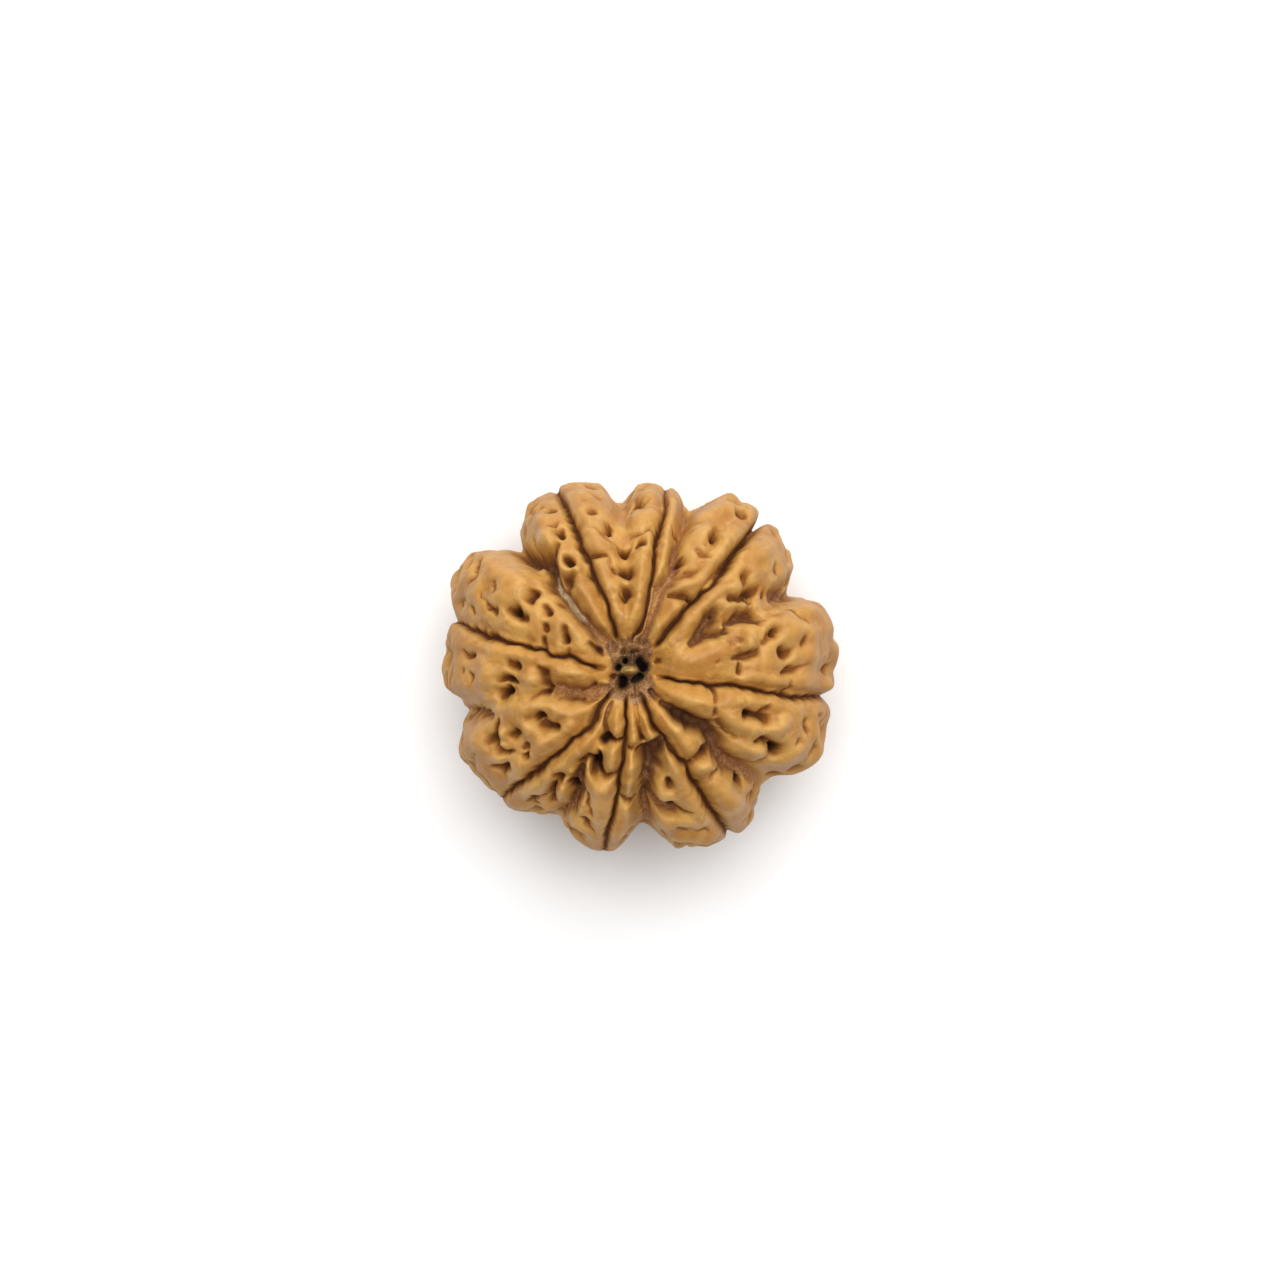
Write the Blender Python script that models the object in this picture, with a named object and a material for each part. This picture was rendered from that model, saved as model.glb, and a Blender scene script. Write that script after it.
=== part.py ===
"""Rudraksha seed: the woody stone of a blue marble tree's fruit, eight-faced, grown as one piece.

The body is a ball of triangles whose points are pushed in and out along their own directions by a
formula, so that the surface never crosses itself. The formula has a lobed body, eight seams that run
from pole to pole, the valleys between the lobes, ridges, pits and a crater with a woody plug at
each pole. Marks are placed in millimetres about the upper pole, x to the right and y away from the
viewer, as they look from straight above. The underside carries the same marks turned by half the
lobes, and the belt round the middle is filled by a seeded rule.
"""
import bmesh
import bpy
import numpy as np
from mathutils import Matrix, Vector

NAME = "rudraksha_seed"

# Driving dimensions, in millimetres unless the name says otherwise
MM = 0.001
HALF_HEIGHT = 9.8
FLAT_SPOT_CUT = 0.3
PROFILE_POWER = 2.3
OUTLINE_EASE_DEG = 1.0
OUTLINE_STEP_DEG = 0.25
CRATER_RADIUS = 2.3
CRATER_DEPTH = 1.25
CRATER_POWER = 4
POLE_DIP_RADIUS = 4.2
POLE_DIP_DEPTH = 0.45
SEAM_DEPTH = 1.0
SEAM_WALL_POWER = 2
SEAM_SPREAD = 1.35
LEAST_SEAM_HALF_WIDTH = 0.14
SEAM_START_RADIUS = 1.5
SEAM_START_LENGTH = 0.9
SEAM_RIM_LOSS = 0.88
SEAM_RIM_POWER = 12
SEAM_SHOULDER_REACH = 1.7
SEAM_SHOULDER_SHARE = 0.55
SHOULDER_REACH = 1.4
SHOULDER_SHARE = 0.5
SHOULDER_POWER = 2.5
SHOULDER_CAP = 1.2
VALLEY_WALL_POWER = 3.2
PIT_WALL_POWER = 2.3
RIDGE_LIFT = 1.5
RIDGE_POWER = 2
LEAN = 0.3
VIEW_DISTANCE = 500
MARK_SHARE_LIMIT = 0.995
SUNK_WIDTH_SHIFT = 0.4
SUNK_DEPTH_SHIFT = 0.3
RAISED_SHIFT = 0.75
LEAST_HALF_WIDTH = 0.2
JOIN_POWER = 6
MERGE_POWER = 4
TINY = 1e-9
STROKE_SPREAD = 1.2
STROKE_REACH = 2.2
TURN_BELOW = 4
BALL_SUBDIVISIONS = 7
TRIANGLE_TARGET = 11300
FLOOR_BLOCK_SIDE = 30
FLOOR_BLOCK_DEPTH = 5
WOOD_COLOUR = (0.42, 0.2, 0.07, 1)
WOOD_ROUGHNESS = 0.5

# The silhouette from above: x and y of its corners, lobe by lobe, anticlockwise from the right
OUTLINE = [
    (12.5, -1.3), (12.55, -0.8), (12.4, -0.2), (12.65, 0.2), (12.77, 0.7), (12.72, 1.9), (12.85, 2.4),
    (12.72, 2.8), (12.3, 3.35), (12.0, 3.8), (11.6, 4.1), (11.2, 4.2), (10.8, 4.15), (10.15, 3.9),
    (9.7, 4.5), (9.8, 5.2), (9.9, 5.8), (10.15, 6.35), (10.0, 6.75), (9.92, 7.35), (9.7, 7.7), (9.58, 8.15),
    (9.0, 8.7), (8.6, 8.95), (8.15, 8.95), (7.9, 8.7), (7.15, 8.25), (7.95, 9.35), (8.0, 9.75), (7.75, 10.15),
    (7.3, 10.4), (6.8, 10.45), (6.5, 10.7), (6.1, 10.9), (5.5, 10.7), (5.0, 10.55), (4.5, 10.35),
    (4.0, 10.0), (3.5, 9.35), (3.35, 9.7), (3.2, 10.3), (3.0, 10.85), (2.8, 11.1), (2.5, 11.3),
    (2.1, 11.1), (1.9, 11.4), (1.5, 11.65), (1.0, 11.72), (0.5, 11.55), (0.0, 10.95), (-0.55, 10.15),
    (-1.1, 10.3), (-1.5, 10.95), (-2.0, 11.5), (-2.8, 11.75), (-3.6, 11.68), (-4.3, 11.55),
    (-4.58, 11.35), (-4.62, 11.05), (-4.6, 10.7), (-4.75, 10.85), (-5.05, 10.98), (-5.5, 10.8),
    (-6.08, 10.65), (-6.62, 10.32), (-6.8, 9.2), (-6.95, 8.2),
    (-6.8, 7.4), (-6.9, 7.15), (-7.7, 7.32), (-8.3, 7.2), (-9.0, 7.37), (-10.1, 7.25), (-10.6, 6.6),
    (-11.1, 6.0), (-11.35, 5.0), (-11.2, 4.0), (-11.0, 3.05), (-11.4, 2.8), (-11.6, 2.0),
    (-11.65, 1.5), (-11.45, 1.0), (-11.72, 0.3), (-11.77, -0.2), (-11.72, -0.8), (-11.7, -1.2),
    (-11.2, -1.6), (-10.5, -1.95), (-10.6, -2.2), (-10.2, -2.6), (-10.65, -3.3), (-10.7, -3.9),
    (-10.85, -5.0), (-10.7, -5.5), (-10.4, -5.9), (-10.1, -6.1), (-9.9, -6.5), (-9.4, -7.0),
    (-8.9, -7.6), (-8.5, -7.75), (-8.3, -8.1), (-7.8, -8.6), (-7.3, -8.9), (-6.5, -9.0), (-6.0, -8.9),
    (-5.1, -9.2), (-4.5, -9.15), (-4.4, -9.6), (-3.8, -10.5), (-2.9, -11.0), (-2.3, -11.25),
    (-1.7, -11.5), (-1.1, -11.4), (-0.5, -10.9), (0.0, -10.3), (0.4, -9.85), (0.9, -9.8), (1.3, -10.0),
    (1.9, -10.5), (2.4, -11.1), (2.8, -11.35), (3.5, -11.3), (4.0, -11.2), (4.7, -11.4), (5.2, -11.1),
    (5.7, -10.7), (5.95, -10.3), (5.9, -10.05), (6.5, -10.2), (6.9, -10.0), (7.5, -9.4), (7.65, -9.0),
    (7.6, -8.6), (7.8, -8.4), (8.05, -7.7), (7.95, -7.35), (8.3, -7.0), (8.7, -6.75),
    (9.2, -6.65), (9.8, -6.65),
    (10.4, -6.5), (11.0, -6.2), (11.5, -5.8), (11.9, -5.2), (12.15, -4.5), (12.15, -3.5),
    (12.4, -2.8), (12.35, -2.4), (11.8, -1.7),
]

# The eight seams, anticlockwise from the right: x, y and half-width from the crater to the rim
SEAMS = [
    [(1.5, -0.45, 0.08), (2.4, -0.65, 0.1), (3.8, -0.9, 0.08), (4.9, -1.1, 0.13), (6.0, -1.05, 0.1),
     (7.5, -1.3, 0.12), (8.9, -1.6, 0.08), (9.7, -1.75, 0.16), (10.5, -1.95, 0.13), (11.7, -1.75, 0.1)],
    [(1.3, 1.3, 0.1), (2.0, 2.0, 0.16), (2.8, 3.0, 0.16), (3.5, 3.8, 0.17), (4.2, 4.5, 0.14),
     (5.0, 5.15, 0.1), (5.55, 5.9, 0.15), (6.1, 6.9, 0.17), (6.7, 7.5, 0.17), (7.3, 8.4, 0.14)],
    [(-0.1, 1.7, 0.12), (0.4, 2.3, 0.12), (0.85, 3.4, 0.14), (1.05, 4.4, 0.13), (1.2, 5.3, 0.13),
     (1.35, 6.4, 0.1), (1.45, 7.6, 0.1), (1.65, 8.4, 0.16), (1.9, 9.3, 0.12), (2.17, 10.2, 0.1),
     (2.1, 11.1, 0.1)],
    [(-0.95, 2.0, 0.16), (-1.2, 3.0, 0.14), (-1.5, 4.0, 0.1), (-1.8, 4.7, 0.1), (-2.4, 5.7, 0.2),
     (-2.6, 6.7, 0.12), (-3.1, 7.45, 0.17), (-3.35, 8.3, 0.17), (-3.95, 9.7, 0.14), (-4.2, 10.3, 0.17),
     (-4.55, 10.8, 0.15)],
    [(-1.9, 0.0, 0.1), (-2.5, 0.1, 0.12), (-3.2, 0.45, 0.12), (-4.0, 0.75, 0.17), (-5.0, 0.8, 0.1),
     (-5.6, 1.15, 0.12), (-6.8, 1.4, 0.07), (-7.8, 1.65, 0.1), (-8.6, 1.9, 0.2), (-9.4, 2.1, 0.2),
     (-10.2, 2.45, 0.14), (-10.9, 2.85, 0.1)],
    [(-1.4, -1.6, 0.1), (-2.1, -2.5, 0.2), (-2.4, -3.3, 0.16), (-2.9, -4.0, 0.16), (-3.7, -4.4, 0.1),
     (-4.2, -5.0, 0.12), (-5.3, -5.8, 0.1), (-6.0, -6.5, 0.18), (-6.8, -7.1, 0.12), (-7.5, -7.6, 0.16),
     (-8.0, -8.0, 0.1)],
    [(-0.4, -2.1, 0.08), (-0.37, -3.4, 0.08), (-0.45, -4.6, 0.18), (-0.55, -5.6, 0.12),
     (-0.8, -6.6, 0.13), (-0.85, -7.8, 0.1), (-1.1, -8.8, 0.12), (-1.35, -9.8, 0.13),
     (-1.6, -10.6, 0.16), (-1.7, -11.3, 0.17)],
    [(0.8, -2.2, 0.1), (1.5, -3.85, 0.16), (2.0, -4.4, 0.12), (2.9, -5.6, 0.12), (3.45, -6.1, 0.15),
     (3.6, -6.8, 0.13), (4.2, -7.5, 0.15), (4.7, -8.5, 0.16), (5.2, -9.2, 0.15), (5.7, -9.9, 0.16)],
]

# The floors of the valleys between the lobes: x, y, half-width and depth along each
VALLEYS = [
    [(3.75, 1.55, 0.16, 1.0), (4.2, 2.0, 0.3, 1.4), (4.65, 2.5, 0.42, 1.5), (4.85, 3.1, 0.34, 1.2),
     (5.2, 3.6, 0.22, 0.8)],
    [(4.7, 2.15, 0.25, 1.4), (5.2, 2.1, 0.16, 1.2), (5.7, 2.25, 0.14, 1.0), (5.9, 2.75, 0.14, 0.7)],
    [(6.15, 2.85, 0.16, 0.8), (6.6, 3.2, 0.32, 1.3), (7.2, 3.15, 0.38, 1.4), (7.85, 2.85, 0.16, 1.1),
     (8.3, 3.15, 0.07, 0.4)],
    [(6.15, 2.1, 0.35, 0.3), (6.9, 2.15, 0.3, 0.25)],
    [(6.4, 1.7, 0.25, 0.5), (6.8, 1.85, 0.2, 0.45)],
    [(8.6, 4.55, 0.3, 0.8), (9.2, 4.6, 0.4, 0.8), (9.7, 4.45, 0.35, 0.5)],
    [(3.5, 9.4, 0.2, 0.3), (3.15, 8.2, 0.14, 0.4), (2.75, 7.4, 0.22, 0.7), (2.6, 6.2, 0.36, 0.9),
     (2.25, 5.4, 0.36, 0.9), (1.7, 4.8, 0.46, 0.8), (1.5, 4.1, 0.38, 0.75), (1.25, 3.3, 0.26, 0.7),
     (0.98, 2.6, 0.2, 0.7), (0.72, 1.9, 0.26, 0.7)],
    [(-7.2, 7.25, 0.3, 1.0), (-6.2, 6.75, 0.38, 1.7), (-5.1, 6.65, 0.42, 2.0), (-4.9, 5.9, 0.42, 1.8),
     (-4.65, 5.1, 0.4, 1.7), (-4.1, 4.5, 0.34, 1.6), (-3.6, 3.75, 0.34, 1.5), (-2.9, 3.0, 0.32, 1.5),
     (-2.2, 2.2, 0.34, 1.1), (-1.6, 1.5, 0.5, 0.7)],
    [(-1.6, -1.4, 0.25, 0.5), (-2.6, -1.55, 0.38, 1.0), (-3.8, -1.55, 0.42, 1.2), (-4.7, -1.3, 0.36, 0.9)],
    [(-8.8, -3.0, 0.16, 0.8), (-9.15, -2.85, 0.2, 1.1), (-9.7, -2.65, 0.14, 0.5), (-10.2, -2.5, 0.15, 0.2)],
    [(-3.15, -6.2, 0.18, 1.3), (-3.35, -7.0, 0.36, 1.5), (-3.25, -7.6, 0.34, 1.4), (-3.6, -8.2, 0.36, 1.5),
     (-3.75, -8.8, 0.28, 1.0), (-4.2, -8.95, 0.2, 0.4)],
    [(-1.35, -2.2, 0.1, 0.6), (-1.7, -3.2, 0.1, 0.7), (-1.6, -4.1, 0.14, 1.0)],
    [(1.95, -4.6, 0.28, 1.5), (1.6, -4.95, 0.4, 1.9), (1.15, -5.45, 0.6, 2.2), (1.2, -6.0, 0.55, 2.1),
     (0.95, -6.8, 0.4, 1.7),
     (0.95, -7.6, 0.36, 1.5), (0.75, -8.2, 0.26, 1.6), (0.95, -9.1, 0.3, 0.6), (0.9, -9.7, 0.3, 0.1)],
    [(0.9, -8.0, 0.4, 1.2), (1.45, -8.35, 0.55, 1.1), (2.0, -8.75, 0.5, 1.1), (2.6, -9.0, 0.24, 0.9)],
    [(1.2, -1.5, 0.12, 0.8), (2.0, -2.25, 0.15, 1.2), (2.8, -2.85, 0.33, 2.2), (3.6, -3.3, 0.44, 2.4),
     (4.7, -3.6, 0.44, 2.1), (5.1, -4.3, 0.48, 1.9), (5.4, -5.2, 0.42, 1.7), (5.9, -6.0, 0.42, 1.4),
     (6.9, -6.4, 0.5, 0.8), (7.8, -7.0, 0.35, 0.2)],
]

# Pits, cracks and creases: x, y, half-width and depth along each
CUTS = [
    # Upper half of the lobe to the left
    [(-9.42, 6.55, 0.15, 0.8), (-9.57, 6.1, 0.15, 0.9)],
    [(-9.6, 5.9, 0.1, 0.3), (-9.85, 5.6, 0.12, 0.3), (-10.2, 5.4, 0.12, 0.3)],
    [(-8.55, 5.35, 0.12, 0.35), (-8.52, 4.85, 0.14, 0.35)],
    [(-8.95, 5.05, 0.35, 0.22)],
    [(-9.4, 4.48, 0.07, 0.4)],
    [(-9.3, 4.25, 0.06, 0.3), (-9.0, 4.1, 0.06, 0.2)],
    [(-6.35, 4.3, 0.2, 1.1), (-6.05, 4.65, 0.2, 1.3)],
    [(-7.5, 3.7, 0.2, 1.1), (-7.25, 3.55, 0.27, 1.5), (-6.95, 3.25, 0.22, 0.9), (-6.65, 3.1, 0.17, 0.7)],
    [(-8.95, 3.87, 0.14, 0.8), (-8.5, 3.6, 0.18, 1.0)],
    [(-10.15, 3.85, 0.08, 0.5), (-9.93, 3.65, 0.1, 0.7)],
    [(-10.7, 4.5, 0.07, 0.3), (-10.55, 4.25, 0.08, 0.3)],
    [(-5.35, 3.8, 0.14, 0.9), (-5.17, 3.45, 0.15, 1.1)],
    [(-5.4, 2.68, 0.14, 0.8), (-5.38, 2.45, 0.14, 0.9)],
    [(-5.48, 1.2, 0.12, 0.9), (-5.52, 1.9, 0.12, 0.8)],
    [(-4.25, 2.5, 0.15, 0.6), (-4.1, 1.8, 0.15, 1.2)],
    [(-4.0, 0.9, 0.09, 0.6), (-3.98, 1.25, 0.07, 0.3)],
    [(-2.55, 1.6, 0.15, 0.7), (-2.15, 1.25, 0.22, 1.1), (-1.9, 0.95, 0.12, 0.6)],
    [(-4.6, 4.05, 0.16, 0.6), (-4.25, 3.85, 0.16, 0.7)],
    # Left half of the lobe at the upper left
    [(-5.25, 9.82, 0.15, 0.6), (-5.0, 9.7, 0.18, 1.0)],
    [(-5.72, 10.05, 0.13, 0.4)],
    [(-6.35, 9.87, 0.08, 0.3), (-6.2, 9.72, 0.08, 0.4)],
    [(-5.2, 8.85, 0.07, 0.3), (-4.85, 8.87, 0.11, 0.5), (-4.68, 9.2, 0.08, 0.3)],
    [(-4.52, 8.45, 0.2, 1.1), (-4.4, 8.15, 0.17, 1.2)],
    [(-6.15, 8.15, 0.1, 0.3), (-6.1, 7.7, 0.12, 0.4), (-5.65, 7.05, 0.1, 0.5)],
    [(-4.6, 7.7, 0.14, 0.5), (-4.8, 7.2, 0.18, 0.9), (-4.95, 6.85, 0.2, 1.2)],
    [(-4.05, 6.8, 0.19, 1.2), (-3.85, 6.62, 0.18, 1.2)],
    [(-3.8, 5.85, 0.25, 0.7), (-4.0, 5.45, 0.36, 0.9), (-4.1, 5.1, 0.22, 0.7)],
    # Right half of the same lobe and the row of pits beyond it
    [(-2.5, 9.6, 0.19, 0.7)],
    [(-1.43, 8.78, 0.16, 1.0), (-1.52, 8.45, 0.17, 1.3)],
    [(-2.45, 10.72, 0.07, 0.25), (-2.05, 10.5, 0.07, 0.25)],
    [(-2.95, 10.35, 0.16, 0.2)],
    [(-2.6, 8.8, 0.08, 0.15), (-1.95, 8.5, 0.1, 0.3), (-1.35, 7.95, 0.1, 0.3), (-0.95, 7.65, 0.1, 0.3)],
    [(-2.85, 7.05, 0.15, 0.9), (-2.3, 7.07, 0.14, 0.8), (-1.65, 7.1, 0.11, 0.5)],
    [(-1.45, 6.95, 0.08, 0.3), (-1.35, 6.4, 0.1, 0.4), (-1.05, 6.05, 0.12, 0.6)],
    [(-0.78, 7.2, 0.17, 0.7), (-0.5, 7.08, 0.24, 1.0), (-0.15, 7.45, 0.13, 0.5)],
    [(-0.85, 6.0, 0.13, 0.6), (-0.5, 5.92, 0.2, 1.0), (-0.12, 5.85, 0.2, 1.0), (-0.1, 6.2, 0.15, 0.6)],
    [(-0.78, 4.75, 0.08, 0.4), (-0.45, 4.3, 0.13, 0.9), (-0.25, 4.6, 0.22, 1.0), (-0.35, 4.75, 0.25, 0.9)],
    # Left half of the lobe at the top
    [(0.35, 7.65, 0.13, 0.7), (0.6, 7.85, 0.17, 1.0)],
    [(-0.1, 7.8, 0.08, 0.3), (-0.1, 8.2, 0.07, 0.3), (0.35, 8.42, 0.09, 0.35), (0.85, 8.68, 0.09, 0.35),
     (1.2, 8.7, 0.08, 0.35), (1.52, 8.4, 0.08, 0.4)],
    [(0.3, 10.65, 0.1, 0.3), (0.35, 10.2, 0.19, 1.2), (0.62, 10.1, 0.12, 0.9), (1.1, 10.6, 0.08, 0.2)],
    [(-0.15, 9.85, 0.1, 0.4), (0.1, 9.75, 0.07, 0.3)],
    # Right half of the lobe at the top
    [(2.5, 8.75, 0.08, 0.3), (2.6, 8.3, 0.12, 0.5), (2.9, 8.08, 0.14, 0.5)],
    [(2.9, 7.75, 0.12, 0.5)],
    [(3.12, 7.0, 0.11, 0.8), (2.92, 6.6, 0.24, 1.3)],
    [(2.9, 5.75, 0.24, 0.6), (3.5, 5.9, 0.28, 0.6), (4.05, 6.1, 0.16, 0.3)],
    [(3.3, 8.5, 0.08, 0.3), (3.7, 8.9, 0.08, 0.3), (4.3, 9.05, 0.06, 0.2)],
    [(1.4, 5.3, 0.12, 0.6), (2.2, 5.3, 0.12, 0.6)],
    # Left half of the lobe at the upper right
    [(2.35, 4.62, 0.13, 0.7), (3.0, 4.52, 0.15, 0.9), (3.6, 4.36, 0.15, 1.0), (3.85, 4.2, 0.18, 1.0)],
    [(5.3, 8.75, 0.12, 0.3), (5.12, 8.4, 0.13, 0.9), (5.02, 7.95, 0.17, 1.3)],
    [(4.63, 7.76, 0.06, 0.3)],
    [(4.05, 7.5, 0.1, 0.35), (4.4, 7.12, 0.12, 0.4), (4.8, 7.0, 0.1, 0.35)],
    [(6.4, 9.75, 0.09, 0.4), (6.65, 9.42, 0.15, 0.9), (6.95, 9.42, 0.16, 0.8)],
    [(7.26, 9.1, 0.06, 0.3)],
    # Right half of the same lobe
    [(8.9, 6.45, 0.09, 0.5), (8.88, 6.1, 0.1, 0.7), (9.1, 5.8, 0.06, 0.3)],
    [(7.3, 6.1, 0.14, 0.3), (7.0, 5.7, 0.2, 0.6), (7.1, 5.3, 0.2, 0.6)],
    [(7.0, 4.55, 0.2, 0.9), (7.4, 4.75, 0.24, 1.1), (7.95, 5.0, 0.12, 0.6)],
    [(6.15, 4.45, 0.2, 0.8), (6.6, 4.35, 0.15, 0.8), (7.2, 4.35, 0.15, 0.9), (7.4, 4.1, 0.14, 0.7)],
    [(8.2, 4.78, 0.11, 0.7), (8.15, 4.5, 0.15, 0.9)],
    [(8.6, 4.85, 0.08, 0.3), (9.0, 5.15, 0.1, 0.4), (9.4, 5.4, 0.07, 0.3)],
    [(5.1, 3.35, 0.16, 1.2)],
    [(5.3, 3.65, 0.2, 0.25)],
    # Upper half of the lobe to the right
    [(1.6, 0.35, 0.1, 0.5), (1.78, 0.5, 0.13, 0.7)],
    [(5.4, 0.3, 0.1, 0.3)],
    [(6.4, 0.55, 0.1, 0.5), (6.85, 0.8, 0.17, 0.8), (7.3, 0.92, 0.2, 0.9),
     (7.75, 0.95, 0.14, 0.7), (7.95, 1.25, 0.1, 0.4)],
    [(6.75, 0.4, 0.07, 0.5), (6.72, -0.2, 0.14, 0.9)],
    [(8.92, 2.45, 0.12, 1.1), (8.78, 2.18, 0.17, 1.3)],
    [(8.6, 2.0, 0.14, 0.5), (8.2, 1.6, 0.14, 0.4)],
    [(10.7, 1.85, 0.11, 0.8), (10.62, 1.6, 0.11, 0.8)],
    [(9.4, 1.05, 0.25, 0.9), (9.6, 0.95, 0.25, 1.0), (10.0, 1.2, 0.12, 0.4)],
    [(9.4, -0.32, 0.09, 0.5), (9.7, -0.1, 0.14, 0.8), (10.1, -0.05, 0.13, 0.7), (10.5, 0.1, 0.08, 0.5),
     (11.0, 0.35, 0.05, 0.3)],
    [(12.0, 0.0, 0.08, 0.35), (12.3, 0.35, 0.06, 0.25), (12.5, 0.7, 0.05, 0.2)],
    [(10.0, -0.9, 0.06, 0.3), (9.9, -1.3, 0.1, 0.5), (9.6, -1.55, 0.1, 0.7)],
    [(6.6, -0.87, 0.05, 0.2)],
    [(8.05, -1.05, 0.05, 0.2)],
    [(10.0, 3.6, 0.12, 0.3), (10.5, 3.2, 0.1, 0.25), (11.0, 2.9, 0.08, 0.2)],
    # Lower half of the same lobe
    [(5.15, -1.2, 0.16, 1.0), (5.25, -1.7, 0.09, 0.8), (5.25, -2.3, 0.07, 0.3), (5.2, -2.9, 0.1, 0.6)],
    [(7.15, -2.85, 0.2, 1.4), (7.4, -2.9, 0.18, 1.3), (7.9, -3.0, 0.15, 1.0), (8.3, -3.15, 0.24, 1.1)],
    [(8.2, -2.8, 0.15, 0.6), (8.5, -2.5, 0.14, 0.4)],
    [(10.86, -3.2, 0.09, 0.5), (10.82, -3.6, 0.13, 0.9), (11.0, -4.0, 0.08, 0.6)],
    [(10.25, -4.65, 0.07, 0.4), (10.38, -4.5, 0.1, 0.5), (10.8, -4.65, 0.05, 0.15)],
    [(7.75, -4.65, 0.08, 0.7), (8.2, -4.42, 0.17, 1.2), (8.6, -4.6, 0.16, 1.1)],
    [(8.8, -4.8, 0.2, 1.4), (9.0, -5.1, 0.34, 1.7)],
    [(5.4, -3.3, 0.15, 0.9), (5.9, -3.95, 0.14, 0.9), (6.3, -4.25, 0.1, 0.6), (6.7, -4.37, 0.08, 0.3)],
    [(6.1, -5.65, 0.12, 0.6), (6.8, -5.92, 0.12, 0.5), (7.6, -5.95, 0.12, 0.4), (8.4, -5.6, 0.12, 0.6)],
    [(11.66, -2.95, 0.15, 0.2)],
    [(10.8, -5.9, 0.08, 0.2), (11.4, -5.4, 0.08, 0.25)],
    # Left half of the lobe at the lower right
    [(6.55, -6.95, 0.19, 1.6), (6.85, -7.15, 0.19, 1.6)],
    [(3.5, -6.05, 0.1, 0.9), (3.85, -5.7, 0.13, 0.8), (4.2, -5.45, 0.18, 1.0), (4.5, -5.2, 0.28, 1.1),
     (4.85, -5.05, 0.35, 1.0)],
    [(5.5, -6.35, 0.1, 0.6), (5.05, -6.6, 0.09, 0.5), (4.85, -7.0, 0.06, 0.3)],
    [(7.4, -8.6, 0.1, 0.3), (7.6, -8.0, 0.14, 0.4)],
    # Right half of the same lobe
    [(2.3, -6.95, 0.12, 0.8), (2.36, -7.3, 0.16, 1.1)],
    [(2.3, -8.6, 0.28, 1.9), (2.5, -8.85, 0.22, 1.4)],
    [(2.8, -8.85, 0.13, 0.9), (3.2, -9.0, 0.12, 0.7), (3.7, -9.05, 0.08, 0.3)],
    [(3.0, -9.98, 0.08, 0.4), (3.3, -10.1, 0.1, 0.4)],
    [(4.1, -10.25, 0.06, 0.25), (4.5, -10.05, 0.1, 0.4), (4.8, -10.25, 0.06, 0.25)],
    # Right half of the lobe at the bottom
    [(0.25, -2.4, 0.05, 0.3), (0.35, -3.3, 0.06, 0.4), (0.5, -4.1, 0.11, 0.8), (0.7, -4.5, 0.17, 1.1)],
    [(0.3, -5.15, 0.14, 0.8), (0.7, -5.0, 0.15, 1.2), (1.3, -5.0, 0.12, 1.2)],
    [(-0.75, -8.1, 0.1, 0.8), (-0.4, -8.35, 0.08, 0.6), (0.0, -8.27, 0.08, 0.6), (0.25, -8.0, 0.1, 0.8)],
    [(-0.25, -5.1, 0.1, 0.8), (0.0, -5.1, 0.08, 0.5)],
    # Left half of the same lobe
    [(-1.75, -4.55, 0.18, 1.5), (-1.45, -4.35, 0.2, 1.4), (-1.0, -4.52, 0.1, 1.0), (-0.65, -4.5, 0.15, 1.2)],
    [(-2.05, -5.3, 0.14, 1.1), (-2.15, -5.95, 0.28, 1.7), (-2.0, -6.4, 0.2, 1.4), (-1.6, -6.75, 0.1, 0.9),
     (-1.2, -6.66, 0.08, 0.9), (-0.95, -6.6, 0.1, 0.9)],
    [(-2.35, -6.5, 0.24, 1.1), (-2.3, -5.7, 0.2, 1.2), (-2.7, -5.5, 0.14, 0.9), (-3.2, -5.85, 0.18, 1.1)],
    [(-2.8, -7.9, 0.1, 0.7), (-2.75, -8.5, 0.09, 0.6), (-2.5, -9.2, 0.07, 0.4)],
    [(-3.45, -8.4, 0.14, 1.0), (-3.6, -9.0, 0.12, 0.8)],
    [(-3.08, -9.5, 0.1, 0.7), (-2.85, -9.48, 0.14, 1.0), (-2.75, -9.9, 0.12, 0.7), (-2.5, -10.2, 0.08, 0.4)],
    # Right half of the lobe at the lower left
    [(-4.5, -6.72, 0.19, 1.2), (-4.5, -7.0, 0.15, 1.0)],
    [(-3.9, -7.1, 0.14, 1.2), (-3.6, -7.3, 0.2, 1.5), (-3.5, -7.9, 0.2, 1.4)],
    [(-4.8, -7.15, 0.12, 1.0), (-5.0, -7.6, 0.15, 1.0), (-4.95, -8.4, 0.13, 0.7)],
    [(-5.1, -7.78, 0.1, 0.7), (-5.6, -8.02, 0.1, 0.7), (-6.1, -7.97, 0.12, 0.8)],
    [(-6.12, -8.1, 0.15, 1.0), (-6.42, -8.38, 0.12, 0.8), (-6.0, -8.4, 0.18, 0.6)],
    [(-6.3, -8.8, 0.12, 0.4)],
    # Left half of the same lobe
    [(-4.6, -1.9, 0.1, 0.5), (-3.8, -2.0, 0.14, 0.85), (-3.1, -2.05, 0.14, 0.85), (-2.3, -2.0, 0.1, 0.5)],
    [(-3.3, -1.48, 0.15, 0.9), (-2.8, -1.25, 0.12, 0.8), (-2.4, -1.08, 0.14, 0.9)],
    [(-5.92, -3.05, 0.18, 1.3), (-5.6, -2.98, 0.18, 1.4)],
    [(-5.6, -3.4, 0.2, 0.9), (-5.2, -3.6, 0.24, 1.0), (-4.75, -3.65, 0.19, 1.2)],
    [(-6.7, -3.1, 0.1, 0.25), (-6.1, -3.05, 0.12, 0.4)],
    [(-7.5, -4.17, 0.15, 1.0), (-7.15, -4.0, 0.15, 1.2)],
    [(-6.78, -5.0, 0.1, 0.7), (-6.5, -4.85, 0.14, 0.9)],
    [(-6.55, -5.1, 0.07, 0.4), (-6.55, -5.45, 0.16, 1.1)],
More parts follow.
